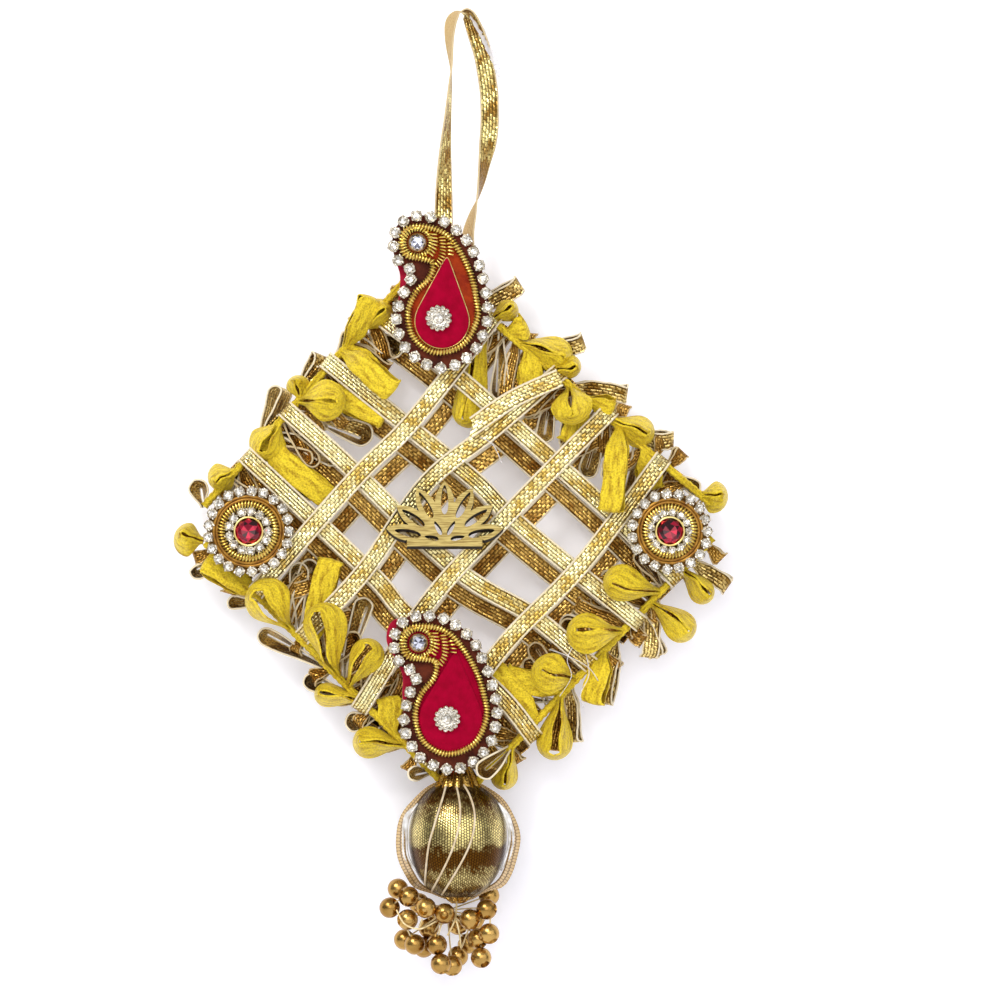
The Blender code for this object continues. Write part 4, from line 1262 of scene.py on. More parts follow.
LOWER_RIGHT = FrameSide(
    "lower_right", FRAME_RIGHT, FRAME_BOTTOM,
    satin=(
        Loop(16.5, -52, 10.0, splay=2.0),
        Loop(24.0, 166, 14.0, splay=3.4, layer=Layer.OVER),
        Loop(27.5, -42, 13.0, splay=2.8),
        Loop(37.0, -178, 13.5, splay=3.9, layer=Layer.OVER),
        Loop(43.5, -102, 12.7, roll=60),
        Loop(53.0, 165, 11.0, splay=4.0, layer=Layer.OVER),
        Loop(57.0, 166, 14.5, roll=90, layer=Layer.MIDDLE),
        Loop(58.5, -97, 15.5, gap=3.8, splay=2.4),
        Loop(66.5, 132, 19.0, roll=90, layer=Layer.MIDDLE),
        Loop(75.5, -106, 10.5, splay=2.2),
    ),
    gota=(
        Loop(13.5, -35, 11.0, gap=2.2, roll=80),
        Loop(25.5, -96, 14.8, gap=2.2, roll=80),
        Loop(30.5, -70, 11.5, roll=60),
        Loop(22.5, 168, 15.5, gap=2.8, layer=Layer.MIDDLE),
        Loop(37.5, 168, 15.0, gap=2.8, layer=Layer.MIDDLE),
        Loop(39.5, -99, 16.0, gap=2.2, roll=70),
        Loop(55.5, -85, 13.5, gap=2.2, roll=60),
        Loop(60.5, 168, 13.0, gap=2.6, layer=Layer.MIDDLE),
        Loop(64.5, 172, 9.5, gap=2.0, layer=Layer.MIDDLE),
        Loop(74.3, -139, 11.5, gap=4.8, splay=-2.0, layer=Layer.OVER),
    ),
)

LOWER_LEFT = FrameSide(
    "lower_left", FRAME_BOTTOM, FRAME_LEFT,
    satin=(
        Loop(18.5, 177, 12.6, splay=2.8),
        Loop(22.5, 100, 8.6, roll=90, layer=Layer.MIDDLE),
        Loop(33.5, 172, 11.3, splay=1.8),
        Loop(38.2, 58, 13.0, gap=3.4, splay=2.3, layer=Layer.OVER),
        Loop(41.5, 102, 18.2, gap=4.0, splay=3.2, layer=Layer.OVER),
        Loop(51.5, 76, 21.5, roll=90, layer=Layer.MIDDLE),
        Loop(57.5, 127, 14.2, gap=4.4, splay=3.3, layer=Layer.OVER),
        Loop(69.0, 146, 14.7, roll=70),
        Loop(87.5, 172, 7.0, splay=3.0),
    ),
    gota=(
        Loop(9.3, -176, 5.8, gap=3.6, splay=-1.5, layer=Layer.OVER),
        Loop(20.5, 146, 12.1, gap=2.0, roll=10),
        Loop(28.0, -170, 8.0, gap=3.0),
        Loop(35.0, 159, 13.5, gap=2.4),
        Loop(39.5, 72, 21.0, gap=2.8, layer=Layer.MIDDLE),
        Loop(43.0, 152, 20.5, gap=2.6),
        Loop(43.5, 90, 17.0, gap=2.4, layer=Layer.MIDDLE),
        Loop(55.5, 90, 17.5, gap=2.8, layer=Layer.MIDDLE),
        Loop(58.5, 68, 17.0, gap=2.4, layer=Layer.MIDDLE),
        Loop(67.5, -178, 8.4, gap=1.8, roll=20),
        Loop(81.0, -157, 8.5, gap=1.8, roll=20),
    ),
)

SIDES = (UPPER_LEFT, UPPER_RIGHT, LOWER_RIGHT, LOWER_LEFT)


# Lattice

UPPER_RIBBONS = {
    "upper_1": ((6.6, -74.0), (-3.0, -86.8), (-13.9, -100.1), (-25.4, -111.4), (-48.4, -137.6)),
    "upper_2": ((22.2, -87.0), (6.9, -100.2), (-8.4, -112.6), (-23.2, -133.4), (-37.2, -148.4)),
    "upper_3": ((34.4, -96.3), (9.8, -121.4), (-8.4, -141.6), (-23.6, -165.2)),
    "upper_4": ((47.0, -108.2), (28.3, -132.5), (9.1, -152.6), (-8.6, -178.0)),
}
LOWER_RIBBONS = {
    "lower_1": ((-31.0, -84.4), (-14.9, -97.4), (2.9, -111.8), (13.9, -122.6), (41.3, -145.0)),
    "lower_2": ((-40.8, -96.2), (-26.9, -108.7), (-1.0, -133.4), (16.8, -144.2), (29.6, -155.0)),
    "lower_3": ((-50.4, -107.2), (-22.1, -133.9), (-13.0, -144.2), (7.9, -162.2), (16.4, -172.2)),
    "lower_4": ((-16.8, -74.8), (-2.4, -85.9), (21.1, -106.6), (37.4, -121.4), (50.4, -134.6)),
}
TAIL_RIBBON = ((23.4, -87.4), (12.0, -92.6), (2.4, -99.2))


@dataclass
class Lattice:
    """The crossing gota ribbons in front of the frame and behind it."""

    cut: RibbonCut = RibbonCut(4.4, 0.28, 0.5, 0.38, spans=4)
    steps: int = 9
    lift_length: float = 7.0
    fold_out: float = 2.3
    fold_drop: float = 3.0
    twist: float = 0.12
    back_shift: tuple[float, float] = (3.2, -3.2)

    def strip(self, points: tuple[Point, ...], depth: float, end_depth: float, seed: str,
              fold: tuple[bool, bool] = (True, True)) -> bmesh.types.BMesh:
        """One ribbon, laid along its route and folded round the frame at its ends.

        Args:
            points: The route as (x, z).
            depth: Depth of its run.
            end_depth: Depth where it meets the frame.
            seed: Seeds its small unevenness.
            fold: Whether each end folds round the frame.

        Returns:
            The ribbon's mesh.
        """
        chance = random.Random(seed)
        route = smooth_route(list(points), self.steps)
        length = route_length(route, closed=False)
        phase, speed = chance.uniform(0, 6.28), chance.uniform(0.16, 0.3)
        frames, at, before = [], 0.0, route[0]
        for point, normal in zip(route, flat_normals(route)):
            at += (point - before).length
            before = point
            ease = smooth_step(min(at, length - at) / self.lift_length)
            level = end_depth + (depth - end_depth) * ease + 0.1 * math.sin(at * speed * 1.7 + phase)
            tilt = self.twist * math.sin(at * speed + phase)
            breadth = Vector((normal[0], tilt, normal[1])) * self.cut.width / 2
            frames.append(RibbonFrame(Vector((point[0], level, point[1])), breadth))
        inward = 1.0 if depth < 0 else -1.0
        for end, folded in ((0, fold[0]), (-1, fold[1])):
            if not folded:
                continue
            edge, inner = frames[end], frames[1 if end == 0 else -2]
            way = (edge.middle - inner.middle).normalized()
            turn = []
            for share in (0.3, 0.6, 0.85, 1.0):
                angle = share * math.pi / 2
                step = way * self.fold_out * math.sin(angle) + Vector(
                    (0, inward * self.fold_drop * (1 - math.cos(angle)), 0))
                turn.append(RibbonFrame(edge.middle + step, edge.breadth))
            frames = turn[::-1] + frames if end == 0 else frames + turn
        return ribbon_mesh(frames, self.cut, chance.uniform(0, 9))

    def tail(self) -> bmesh.types.BMesh:
        """The loose ribbon end that lies on top and is cut to a point."""
        route = smooth_route(list(TAIL_RIBBON), self.steps)
        frames = []
        for index, (point, normal) in enumerate(zip(route, flat_normals(route))):
            breadth = Vector((normal[0], 0.08 * math.sin(0.6 * index), normal[1])) * self.cut.width / 2
            frames.append(RibbonFrame(Vector((point[0], FRONT_TAIL - 0.25, point[1])), breadth))
        run = (frames[-1].middle - frames[-2].middle).normalized()
        frames[-1].slant = run * 2.6
        return ribbon_mesh(frames, self.cut)

    def build(self, finishes: Finishes) -> None:
        """Builds and dresses every ribbon of the lattice."""
        for name, points in LOWER_RIBBONS.items():
            self.pair(name, points, FRONT_LOWER, FRONT_LOWER, -1.0, finishes)
        for name, points in UPPER_RIBBONS.items():
            self.pair(name, points, FRONT_UPPER, FRONT_LOWER, 1.0, finishes)
        finish_piece(object_of("tail_ribbon", self.tail()), finishes.gota, ("front_tail",))

    def pair(self, name: str, points: tuple[Point, ...], depth: float, end_depth: float, way: float,
             finishes: Finishes) -> None:
        """Builds one front ribbon and the one behind it.

        Args:
            name: The node's name without its layer.
            points: The front ribbon's route.
            depth: Depth of the front ribbon.
            end_depth: Its depth at the frame.
            way: Which way the ribbon behind is shifted sideways.
            finishes: The finishes.
        """
        front = object_of(f"front_{name}_ribbon", self.strip(points, depth, end_depth, name))
        finish_piece(front, finishes.gota, (f"front_{name}",))
        shifted = tuple((x + way * self.back_shift[0], z + self.back_shift[1]) for x, z in points)
        back = object_of(f"back_{name}_ribbon", self.strip(shifted, -depth, -end_depth, name + " back"))
        # The ribbon behind is dressed in the darker painted-shade copy of the gota.
        finish_piece(back, finishes.gota_back_shaded, (f"back_{name}",))


@dataclass
class HangingLoop:
    """The ribbon that the hanging hangs from."""

    rows: tuple[tuple[float, float, float, float], ...] = (
        (-4.3, -66.0, -3.8, 0), (-4.3, -59.5, -3.8, 0), (-4.4, -50.4, -2.2, -5), (-4.3, -40.3, -0.8, -32),
        (-4.0, -32.4, 0.0, -54), (-3.4, -24.5, 0.0, -72), (-2.8, -16.6, 0.0, -84), (-2.6, -12.5, 0.0, -95),
        (-3.0, -6.5, 0.0, -115), (-2.7, -2.2, 0.0, -127), (-1.5, -0.1, 0.0, -115), (0.0, 0.5, 0.0, -88),
        (1.6, -0.4, 0.0, -48), (3.6, -5.3, 0.0, -18), (5.2, -10.6, 0.0, -5), (6.4, -18.2, 0.4, 0),
        (6.6, -22.0, 0.0, 0), (6.6, -26.5, 0.2, 4), (6.2, -31.0, 0.0, 22), (5.5, -35.0, 0.0, 48),
        (4.6, -40.3, 0.0, 70), (3.6, -44.6, -0.8, 90), (2.5, -48.5, -1.8, 112), (1.5, -53.0, -3.0, 128),
        (1.2, -59.5, -3.8, 150), (1.2, -70.2, -3.8, 180),
    )
    cut: RibbonCut = RibbonCut(4.4, 0.28, 0.42, 0.3, spans=4)
    steps: int = 7

    def ribbon(self) -> bmesh.types.BMesh:
        """The ribbon's mesh."""
        route = smooth_route([Vector(row) for row in self.rows], self.steps)
        last = len(route) - 1
        frames = []
        for index, row in enumerate(route):
            before, after = route[max(index - 1, 0)], route[min(index + 1, last)]
            run = Vector((after[0] - before[0], 0, after[1] - before[1])).normalized()
            flat = Vector((-run[2], 0, run[0]))
            turn = math.radians(row[3])
            breadth = flat * math.cos(turn) + Vector((0, 1, 0)) * math.sin(turn)
            frames.append(RibbonFrame(Vector((row[0], row[2], row[1])), breadth * self.cut.width / 2))
        return ribbon_mesh(frames, self.cut)

    def build(self, finishes: Finishes) -> None:
        """Builds and dresses the hanging loop."""
        finish_piece(object_of("hanging_ribbon", self.ribbon()), finishes.gota_hanging,
                     ("hanging_loop",))


# Stones

def paint_facet_glints(piece: bpy.types.Object, seed: str) -> None:
    """Gives each facet of a piece a painted glint tone of its own: bright, middling or dark at random, standing in for
    the sparkle of a cut stone.

    Args:
        piece: The piece with its facets.
        seed: Seeds the tones.
    """
    chance = random.Random(seed)
    tones = piece.data.attributes.new(FACET_GLINT, "FLOAT", "FACE")
    for slot in tones.data:
        draw = chance.random()
        slot.value = 1.0 if draw > 0.72 else (0.9 * draw if draw > 0.3 else 0.0)


def cut_stone(radius: float, height: float, sides: int) -> bpy.types.Object:
    """A round cut stone with its table towards -Y, set in the origin.

    Args:
        radius: Radius at its girdle.
        height: Height of its crown.
        sides: Number of its main facets.

    Returns:
        The template object.
    """
    bpy.ops.mesh.primitive_cylinder_add(vertices=sides, radius=radius * MM, depth=0.3 * MM,
                                        end_fill_type="NGON", rotation=(math.pi / 2, 0, 0))
    stone = bpy.context.view_layer.objects.active
    settle(stone)
    edit_faces(stone, lambda middle, normal: normal.y < -0.9)
    for scale, rise in ((0.8, 0.55), (0.68, 0.45)):
        bpy.ops.mesh.extrude_region_move(TRANSFORM_OT_translate={"value": (0, -rise * height * MM, 0)})
        bpy.ops.transform.resize(value=(scale, 1, scale))
        bpy.ops.transform.rotate(value=math.pi / sides, orient_axis="Y",
                                 center_override=(0.0, 0.0, 0.0))
    bpy.ops.mesh.poke(offset=-0.08 * height * MM)
    bpy.ops.mesh.select_all(action="SELECT")
    bpy.ops.mesh.quads_convert_to_tris(quad_method="BEAUTY", ngon_method="BEAUTY")
    leave_edit()
    return stone


def stone_cup(radius: float, height: float, prongs: int) -> bpy.types.Object:
    """A metal cup with prongs that holds a stone, its mouth towards -Y.

    Args:
        radius: Radius of the cup.
        height: Its height.
        prongs: Number of prongs.

    Returns:
        The template object.
    """
    bpy.ops.mesh.primitive_cylinder_add(vertices=16, radius=radius * MM, depth=height * MM,
                                        location=(0, -height / 2 * MM, 0), rotation=(math.pi / 2, 0, 0))
    cup = bpy.context.view_layer.objects.active
    settle(cup)
    edit_faces(cup, lambda middle, normal: normal.y < -0.9)
    bpy.ops.mesh.inset(thickness=0.16 * radius * MM)
    bpy.ops.transform.translate(value=(0, 0.3 * height * MM, 0))
    leave_edit()
    parts = [cup]
    for number in range(prongs):
        angle = 2 * math.pi * (number + 0.5) / prongs
        bpy.ops.mesh.primitive_uv_sphere_add(
            segments=6, ring_count=4, radius=0.26 * radius * MM,
            location=(0.93 * radius * math.cos(angle) * MM, -height * MM, 0.93 * radius * math.sin(angle) * MM))
        parts.append(bpy.context.view_layer.objects.active)
    return join(parts, "cup")


@dataclass
class StoneChain:
    """Set stones side by side on a closed route."""

    name: str
    route: list[Vector]
    seat: float
    pitch: float
    radius: float
    nodes: tuple[str, ...]
    cup_height: float = 0.95

    def build(self, finishes: Finishes) -> None:
        """Builds and dresses the chain's cups and stones."""
        chance = random.Random(self.name)
        count = max(3, round(route_length(self.route) / self.pitch))
        cups, stones = [], []
        for point in even_route(self.route, count):
            lean = Matrix.Rotation(chance.uniform(-0.14, 0.14), 4, "X") @ Matrix.Rotation(
                chance.uniform(-0.14, 0.14), 4, "Z")
            turn = chance.uniform(0, 2 * math.pi)
            cups.append(place_at(point[0], self.seat, point[1], turn, lean))
            stones.append(place_at(point[0], self.seat - 0.62 * self.cup_height, point[1], turn, lean))
        cup = copies(stone_cup(self.radius, self.cup_height, 4), cups, f"{self.name}_cups")
        finish_piece(cup, finishes.cup)
        stone = copies(cut_stone(0.86 * self.radius, 0.62, 8), stones, f"{self.name}_stones")
        paint_facet_glints(stone, self.name)
        finish_piece(stone, finishes.stone, self.nodes, smooth=False)


# Patches

CHAIN_ROUTE = (
    (-5.4, 24.0), (1.1, 22.8), (7.1, 17.5), (10.6, 8.5), (11.4, -1.0), (7.4, -9.2),
    (0.2, -12.1), (-7.3, -8.3), (-10.2, -0.6), (-8.0, 7.0), (-6.1, 10.6), (-9.6, 13.2),
    (-10.9, 17.8), (-9.4, 22.2),
)
TOP_FELT = (
    (-5.4, 23.2), (1.1, 22.0), (6.4, 17.2), (9.8, 8.5), (10.5, -1.0), (6.8, -8.6), (0.2, -11.4),
    (-7.6, -8.6), (-10.3, -1.0), (-9.6, 5.5), (-9.4, 10.2), (-10.6, 14.2), (-10.6, 18.6), (-9.0, 21.8),
)
BOTTOM_FELT = (
    (-5.4, 23.6), (1.1, 22.0), (6.4, 17.2), (9.8, 8.5), (10.5, -1.0), (6.8, -8.6), (0.2, -11.4),
    (-7.0, -8.0), (-9.8, -1.0), (-10.0, 6.0), (-9.6, 10.4), (-10.8, 14.2), (-12.6, 19.0), (-10.8, 23.4),
)
CORD_ROUTE = (
    (-5.2, 21.6), (-0.8, 20.9), (2.6, 18.8), (5.6, 14.4), (7.6, 9.8), (8.7, 5.0), (9.0, -0.6),
    (5.6, -6.6), (-0.9, -8.4), (-6.0, -5.0), (-7.4, 0.8), (-5.6, 5.8), (-2.3, 9.4),
    (-1.5, 13.0), (-4.4, 14.0), (-8.0, 14.9), (-9.0, 18.0), (-8.0, 20.6),
)


@dataclass
class PaisleyPatch:
    """A felt paisley with a stone chain, a coiled gold cord, a red drop and two crystals."""

    name: str
    middle: Point
    turn: float
    scale: float
    drop_middle: Point
    drop_radius: float
    drop_tip: Point
    lined: bool
    felt: tuple[Point, ...]
    felt_thick: float = 1.0
    backing_thick: float = 1.1
    small_crystal: Point = (-5.2, 17.8)

    def placed(self, points: object) -> list[Vector]:
        """Turns, scales and moves points to the patch's place."""
        cos = math.cos(math.radians(self.turn)) * self.scale
        sin = math.sin(math.radians(self.turn)) * self.scale
        return [Vector((self.middle[0] + p[0] * cos - p[1] * sin, self.middle[1] + p[0] * sin + p[1] * cos))
                for p in points]

    def outline(self, route: tuple[Point, ...], margin: float, count: int = 90) -> list[Vector]:
        """A closed outline at a margin outwards from a route."""
        line = even_route(smooth_route(self.placed(route), 10, True), count)
        return [point + normal * margin for point, normal in zip(line, flat_normals(line, True))]

    def drop_outline(self, margin: float, steps: int = 40) -> list[Vector]:
        """Outline of the red drop, a margin wider all round."""
        middle, tip = Vector(self.drop_middle), Vector(self.drop_tip)
        reach = tip - middle
        radius = self.drop_radius + margin
        tip = tip + reach.normalized() * 1.6 * margin
        towards = math.atan2(reach[1], reach[0])
        opening = math.acos(radius / (tip - middle).length)
        side = [tip]
        for step in range(steps + 1):
            angle = towards + opening + (2 * math.pi - 2 * opening) * step / steps
            side.append(middle + Vector((math.cos(angle), math.sin(angle))) * radius)
        line = even_route(side, 72)
        for _ in range(3):
            line = [(line[i - 1] + 2 * line[i] + line[(i + 1) % 72]) / 4 for i in range(72)]
        return self.placed(line)

    def build(self, finishes: Finishes) -> None:
        """Builds and dresses the patch."""
        name = self.name
        felt_front = SEAT - self.felt_thick
        felt = cut_sheet(f"{name}_felt_sheet", self.outline(self.felt, 0.0), felt_front, SEAT, 0.25)
        finish_piece(felt, finishes.red_felt, (f"{name}_felt",))
        backing_front = felt_front - CLEAR - self.backing_thick
        backing = cut_sheet(f"{name}_backing_sheet", self.outline(CHAIN_ROUTE, 0.35),
                            backing_front, felt_front - CLEAR, 0.3)
        finish_piece(backing, finishes.brown_felt, (f"{name}_backing",))
        seat = backing_front - 0.05
        chain = smooth_route(self.placed(CHAIN_ROUTE), 12, True)
        StoneChain(f"{name}_chain", chain, seat, 3.4, 1.36, (f"{name}_chain",)).build(finishes)
        self.build_cord(seat, finishes)
        self.build_drop(seat, finishes)
        self.build_crystals(seat, finishes)

    def build_cord(self, seat: float, finishes: Finishes) -> None:
        """Builds the coiled cord, its core, and the turns that fill the head of the paisley."""
        depth = seat - 0.8
        route = smooth_route(self.placed(CORD_ROUTE), 10, True)
        around = [Vector(self.small_crystal) + Vector((math.cos(a), math.sin(a))) * 3.25
                  for a in (math.radians(5 * step) for step in range(72))]
        fills = (((-1.3, 20.3), (-1.1, 18.6), (-1.2, 16.6), (-2.0, 14.9)),
                 ((0.6, 19.6), (0.9, 17.8), (0.9, 15.8), (0.4, 13.8), (-0.6, 12.4)),
                 ((2.3, 18.2), (2.7, 16.6), (2.7, 14.8)))
        wires = [coil("outer", route, depth, 0.72, 0.2, 0.74),
                 coil("ring", self.placed(around), depth, 0.62, 0.2, 0.74)]
        for number, points in enumerate(fills):
            line = smooth_route(self.placed(points), 8)
            wires.append(coil("fill", line, depth + 0.1 * number, 0.85, 0.2, 0.8, False))
        cord = join(wires, f"{self.name}_coiled_wire")
        finish_piece(cord, finishes.coil, (f"{self.name}_cord",))
        core = tube(f"{self.name}_cord_core", [Vector((x, depth, z)) for x, z in route], 0.55, True)
        finish_piece(core, finishes.plain_cord)

    def build_drop(self, seat: float, finishes: Finishes) -> None:
        """Builds the rust ground inside the coil, the crowned red drop and its fine gold line."""
        band = cut_sheet(f"{self.name}_rust_ground", self.outline(CORD_ROUTE, -0.2), seat - 0.3, seat, 0.1)
        finish_piece(band, finishes.rust_felt if self.lined else finishes.velvet)
        drop = cut_sheet(f"{self.name}_red_drop", self.drop_outline(0.0), seat - 0.9, seat - 0.1, 0.1)
        edit_faces(drop, lambda middle, normal: normal.y < -0.95)
        x, z = self.placed([self.drop_middle])[0]
        for scale, rise in ((0.88, 0.26), (0.82, 0.16), (0.7, 0.08)):
            bpy.ops.mesh.extrude_region_move(TRANSFORM_OT_translate={"value": (0, -rise * MM, 0)})
            bpy.ops.transform.resize(value=(scale, 1, scale), center_override=(x * MM, 0, z * MM))
        leave_edit()
        finish_piece(drop, finishes.velvet, (f"{self.name}_drop",))
        if self.lined:
            line = [Vector((x, seat - 0.75, z)) for x, z in self.drop_outline(0.12)]
            finish_piece(tube(f"{self.name}_gold_line", line, 0.12, True, 1), finishes.bezel)

    def build_crystals(self, seat: float, finishes: Finishes) -> None:
        """Builds the small round stone in the head and the stone disc on the drop."""
        x, z = self.placed([self.small_crystal])[0]
        small_cup = copies(stone_cup(2.3, 1.0, 0), [place_at(x, seat, z)], f"{self.name}_small_cup")
        finish_piece(small_cup, finishes.plain_cord)
        small = copies(cut_stone(2.05, 1.0, 10), [place_at(x, seat - 0.75, z)], f"{self.name}_small_stone")
        paint_facet_glints(small, f"{self.name} small")
        finish_piece(small, finishes.lilac_stone, (f"{self.name}_small_crystal",), smooth=False)
        x, z = self.placed([(-0.1, -0.3)])[0]
        top = seat - 1.45
        disc = copies(stone_cup(2.75, 0.7, 13), [place_at(x, top, z)], f"{self.name}_disc_cup")
        finish_piece(disc, finishes.cup)
        places = [place_at(x + 2.05 * math.cos(a), top - 0.45, z + 2.05 * math.sin(a), a)
                  for a in (2 * math.pi * number / 12 for number in range(12))]
        small_ring = copies(cut_stone(0.5, 0.4, 6), places, f"{self.name}_disc_ring")
        paint_facet_glints(small_ring, f"{self.name} ring")
        finish_piece(small_ring, finishes.stone, smooth=False)
        bright = copies(cut_stone(1.45, 0.8, 10), [place_at(x, top - 0.5, z)], f"{self.name}_disc_stone")
        paint_facet_glints(bright, f"{self.name} disc")
        finish_piece(bright, finishes.stone, (f"{self.name}_round_crystal",), smooth=False)


@dataclass
class Medallion:
    """A round patch: two rings of stones, a coiled ring, plain cords and a ruby in a bezel."""

    name: str
    middle: Point
    radius: float
    backing_front: float = SEAT - 1.5

    def build(self, finishes: Finishes) -> None:
        """Builds and dresses the medallion."""
        name, seat = self.name, self.backing_front - 0.05
        outer = self.radius - 1.3
        backing = cut_sheet(f"{name}_backing_sheet", ring(self.middle, outer + 0.3, 72), self.backing_front, SEAT, 0.3)
        finish_piece(backing, finishes.golden_felt, (f"{name}_backing",))
        StoneChain(f"{name}_outer", ring(self.middle, outer, 90), seat, 2.95, 1.24,
                   (f"{name}_outer_chain",)).build(finishes)
        StoneChain(f"{name}_inner", ring(self.middle, 4.75, 60), seat - 0.2, 2.36, 1.14,
                   (f"{name}_inner_chain",)).build(finishes)
        spring = coil(f"{name}_coiled_ring", ring(self.middle, outer - 3.2, 90), seat - 0.75, 0.85, 0.2, 0.74)
        finish_piece(spring, finishes.coil, (f"{name}_cord",))
        for label, radius, depth, thick in (("outer_cord", outer - 1.35, 0.35, 0.42), ("middle_cord", outer - 2.1, 0.45, 0.42),
                                            ("under_cord", outer - 3.2, 0.5, 0.6)):
            line = [Vector((x, seat - depth, z)) for x, z in ring(self.middle, radius, 72)]
            finish_piece(tube(f"{name}_{label}", line, thick, True), finishes.plain_cord)
        bezel = [Vector((x, seat - 1.2, z)) for x, z in ring(self.middle, 3.35, 48)]
        finish_piece(tube(f"{name}_bezel", bezel, 0.3, True), finishes.bezel)
        x, z = self.middle
        ruby = copies(cut_stone(3.2, 1.4, 9), [place_at(x, seat - 0.9, z)], f"{name}_ruby_stone")
        paint_facet_glints(ruby, f"{name} ruby")
        finish_piece(ruby, finishes.ruby, (f"{name}_ruby",), smooth=False)


# Middle ornament

@dataclass
class LotusOrnament:
    """A cut board with a brushed face: an openwork lotus on a foot."""

    middle: Point = (-4.1, -128.4)
    half_width: float = 14.3
    height: float = 15.6
    front: float = SEAT - 2.5
    back: float = SEAT - 0.2
    foot: float = 1.4
    petals: int = 7
    notch: float = 0.66
    lean: float = 0.7

    def silhouette(self) -> list[Vector]:
        """Outline of the whole board."""
        heart = Vector((self.middle[0], self.middle[1] + self.foot))
        rise = (self.height - self.foot) / self.height
        steps = self.petals * 10
        points = []
        for index in range(steps + 1):
            angle = math.pi * index / steps
            size = 1 / math.hypot(math.cos(angle) / self.half_width, math.sin(angle) / self.height)
            tip = 1 - abs(2 * ((index / 10) % 1.0) - 1)
            size *= self.notch + (1 - self.notch) * tip ** 0.75
            points.append(heart + Vector((size * math.cos(angle), rise * size * math.sin(angle))))
        wide = 0.63 * self.half_width
        for x, z in ((-wide, 0.2), (-wide, -self.foot), (wide, -self.foot), (wide, 0.2)):
            points.append(heart + Vector((x, z)))
        return points

    def opening(self, angle: float, near: float, far: float, half: float) -> list[Vector]:
        """Outline of one teardrop opening along a petal.

        Args:
            angle: The petal's angle from +X.
            near: Distance of the opening's blunt end from the heart.
            far: Distance of its tip.
            half: Half its width.

        Returns:
            The outline's points.
        """
        heart = Vector((self.middle[0], self.middle[1] + self.foot))
        out, side = Vector((math.cos(angle), math.sin(angle))), Vector((-math.sin(angle), math.cos(angle)))
        points = []
        for step in range(16):
            share = 2 * math.pi * step / 16
            along = 0.5 * (near + far) - 0.5 * (far - near) * math.cos(share)
            swell = half * math.sin(share) * (1 - 0.45 * (along - near) / (far - near))
            points.append(heart + out * along + side * swell)
        return points

    def leaned(self, name: str, outline: list[Vector], past: float) -> bpy.types.Object:
        """A cut outline that reaches past the board's faces and leans up to the front, as a slanted cut does."""
        sheet = cut_sheet(name, outline, self.front - past, self.back + past, 0.02)
        slope = self.lean / (self.back - self.front)
        for vert in sheet.data.vertices:
            vert.co.z += slope * (self.back * MM - vert.co.y)
        return sheet

    def build(self, finishes: Finishes) -> None:
        """Cuts, brushes and dresses the ornament."""
        board = self.leaned("lotus_ornament", self.silhouette(), 0.0)
        for number in range(self.petals):
            angle = math.pi * (number + 0.5) / self.petals
            reach = 1 / math.hypot(math.cos(angle) / self.half_width, math.sin(angle) / self.height)
            flat = math.atan2(0.91 * math.sin(angle), math.cos(angle))
            for near, far, half in ((0.4, 0.85, 1.1), (0.1, 0.34, 0.72))[:2 - number % 2]:
                shape = self.opening(flat, near * reach, far * reach, half)
                cutter = self.leaned("cutter", shape, 1.0)
                add_modifier(board, "BOOLEAN", object=cutter, operation="DIFFERENCE", solver="EXACT")
                bpy.data.objects.remove(cutter, do_unlink=True)
        finish_piece(board, finishes.board, ("ornament",), smooth=False)


# Ball and beads

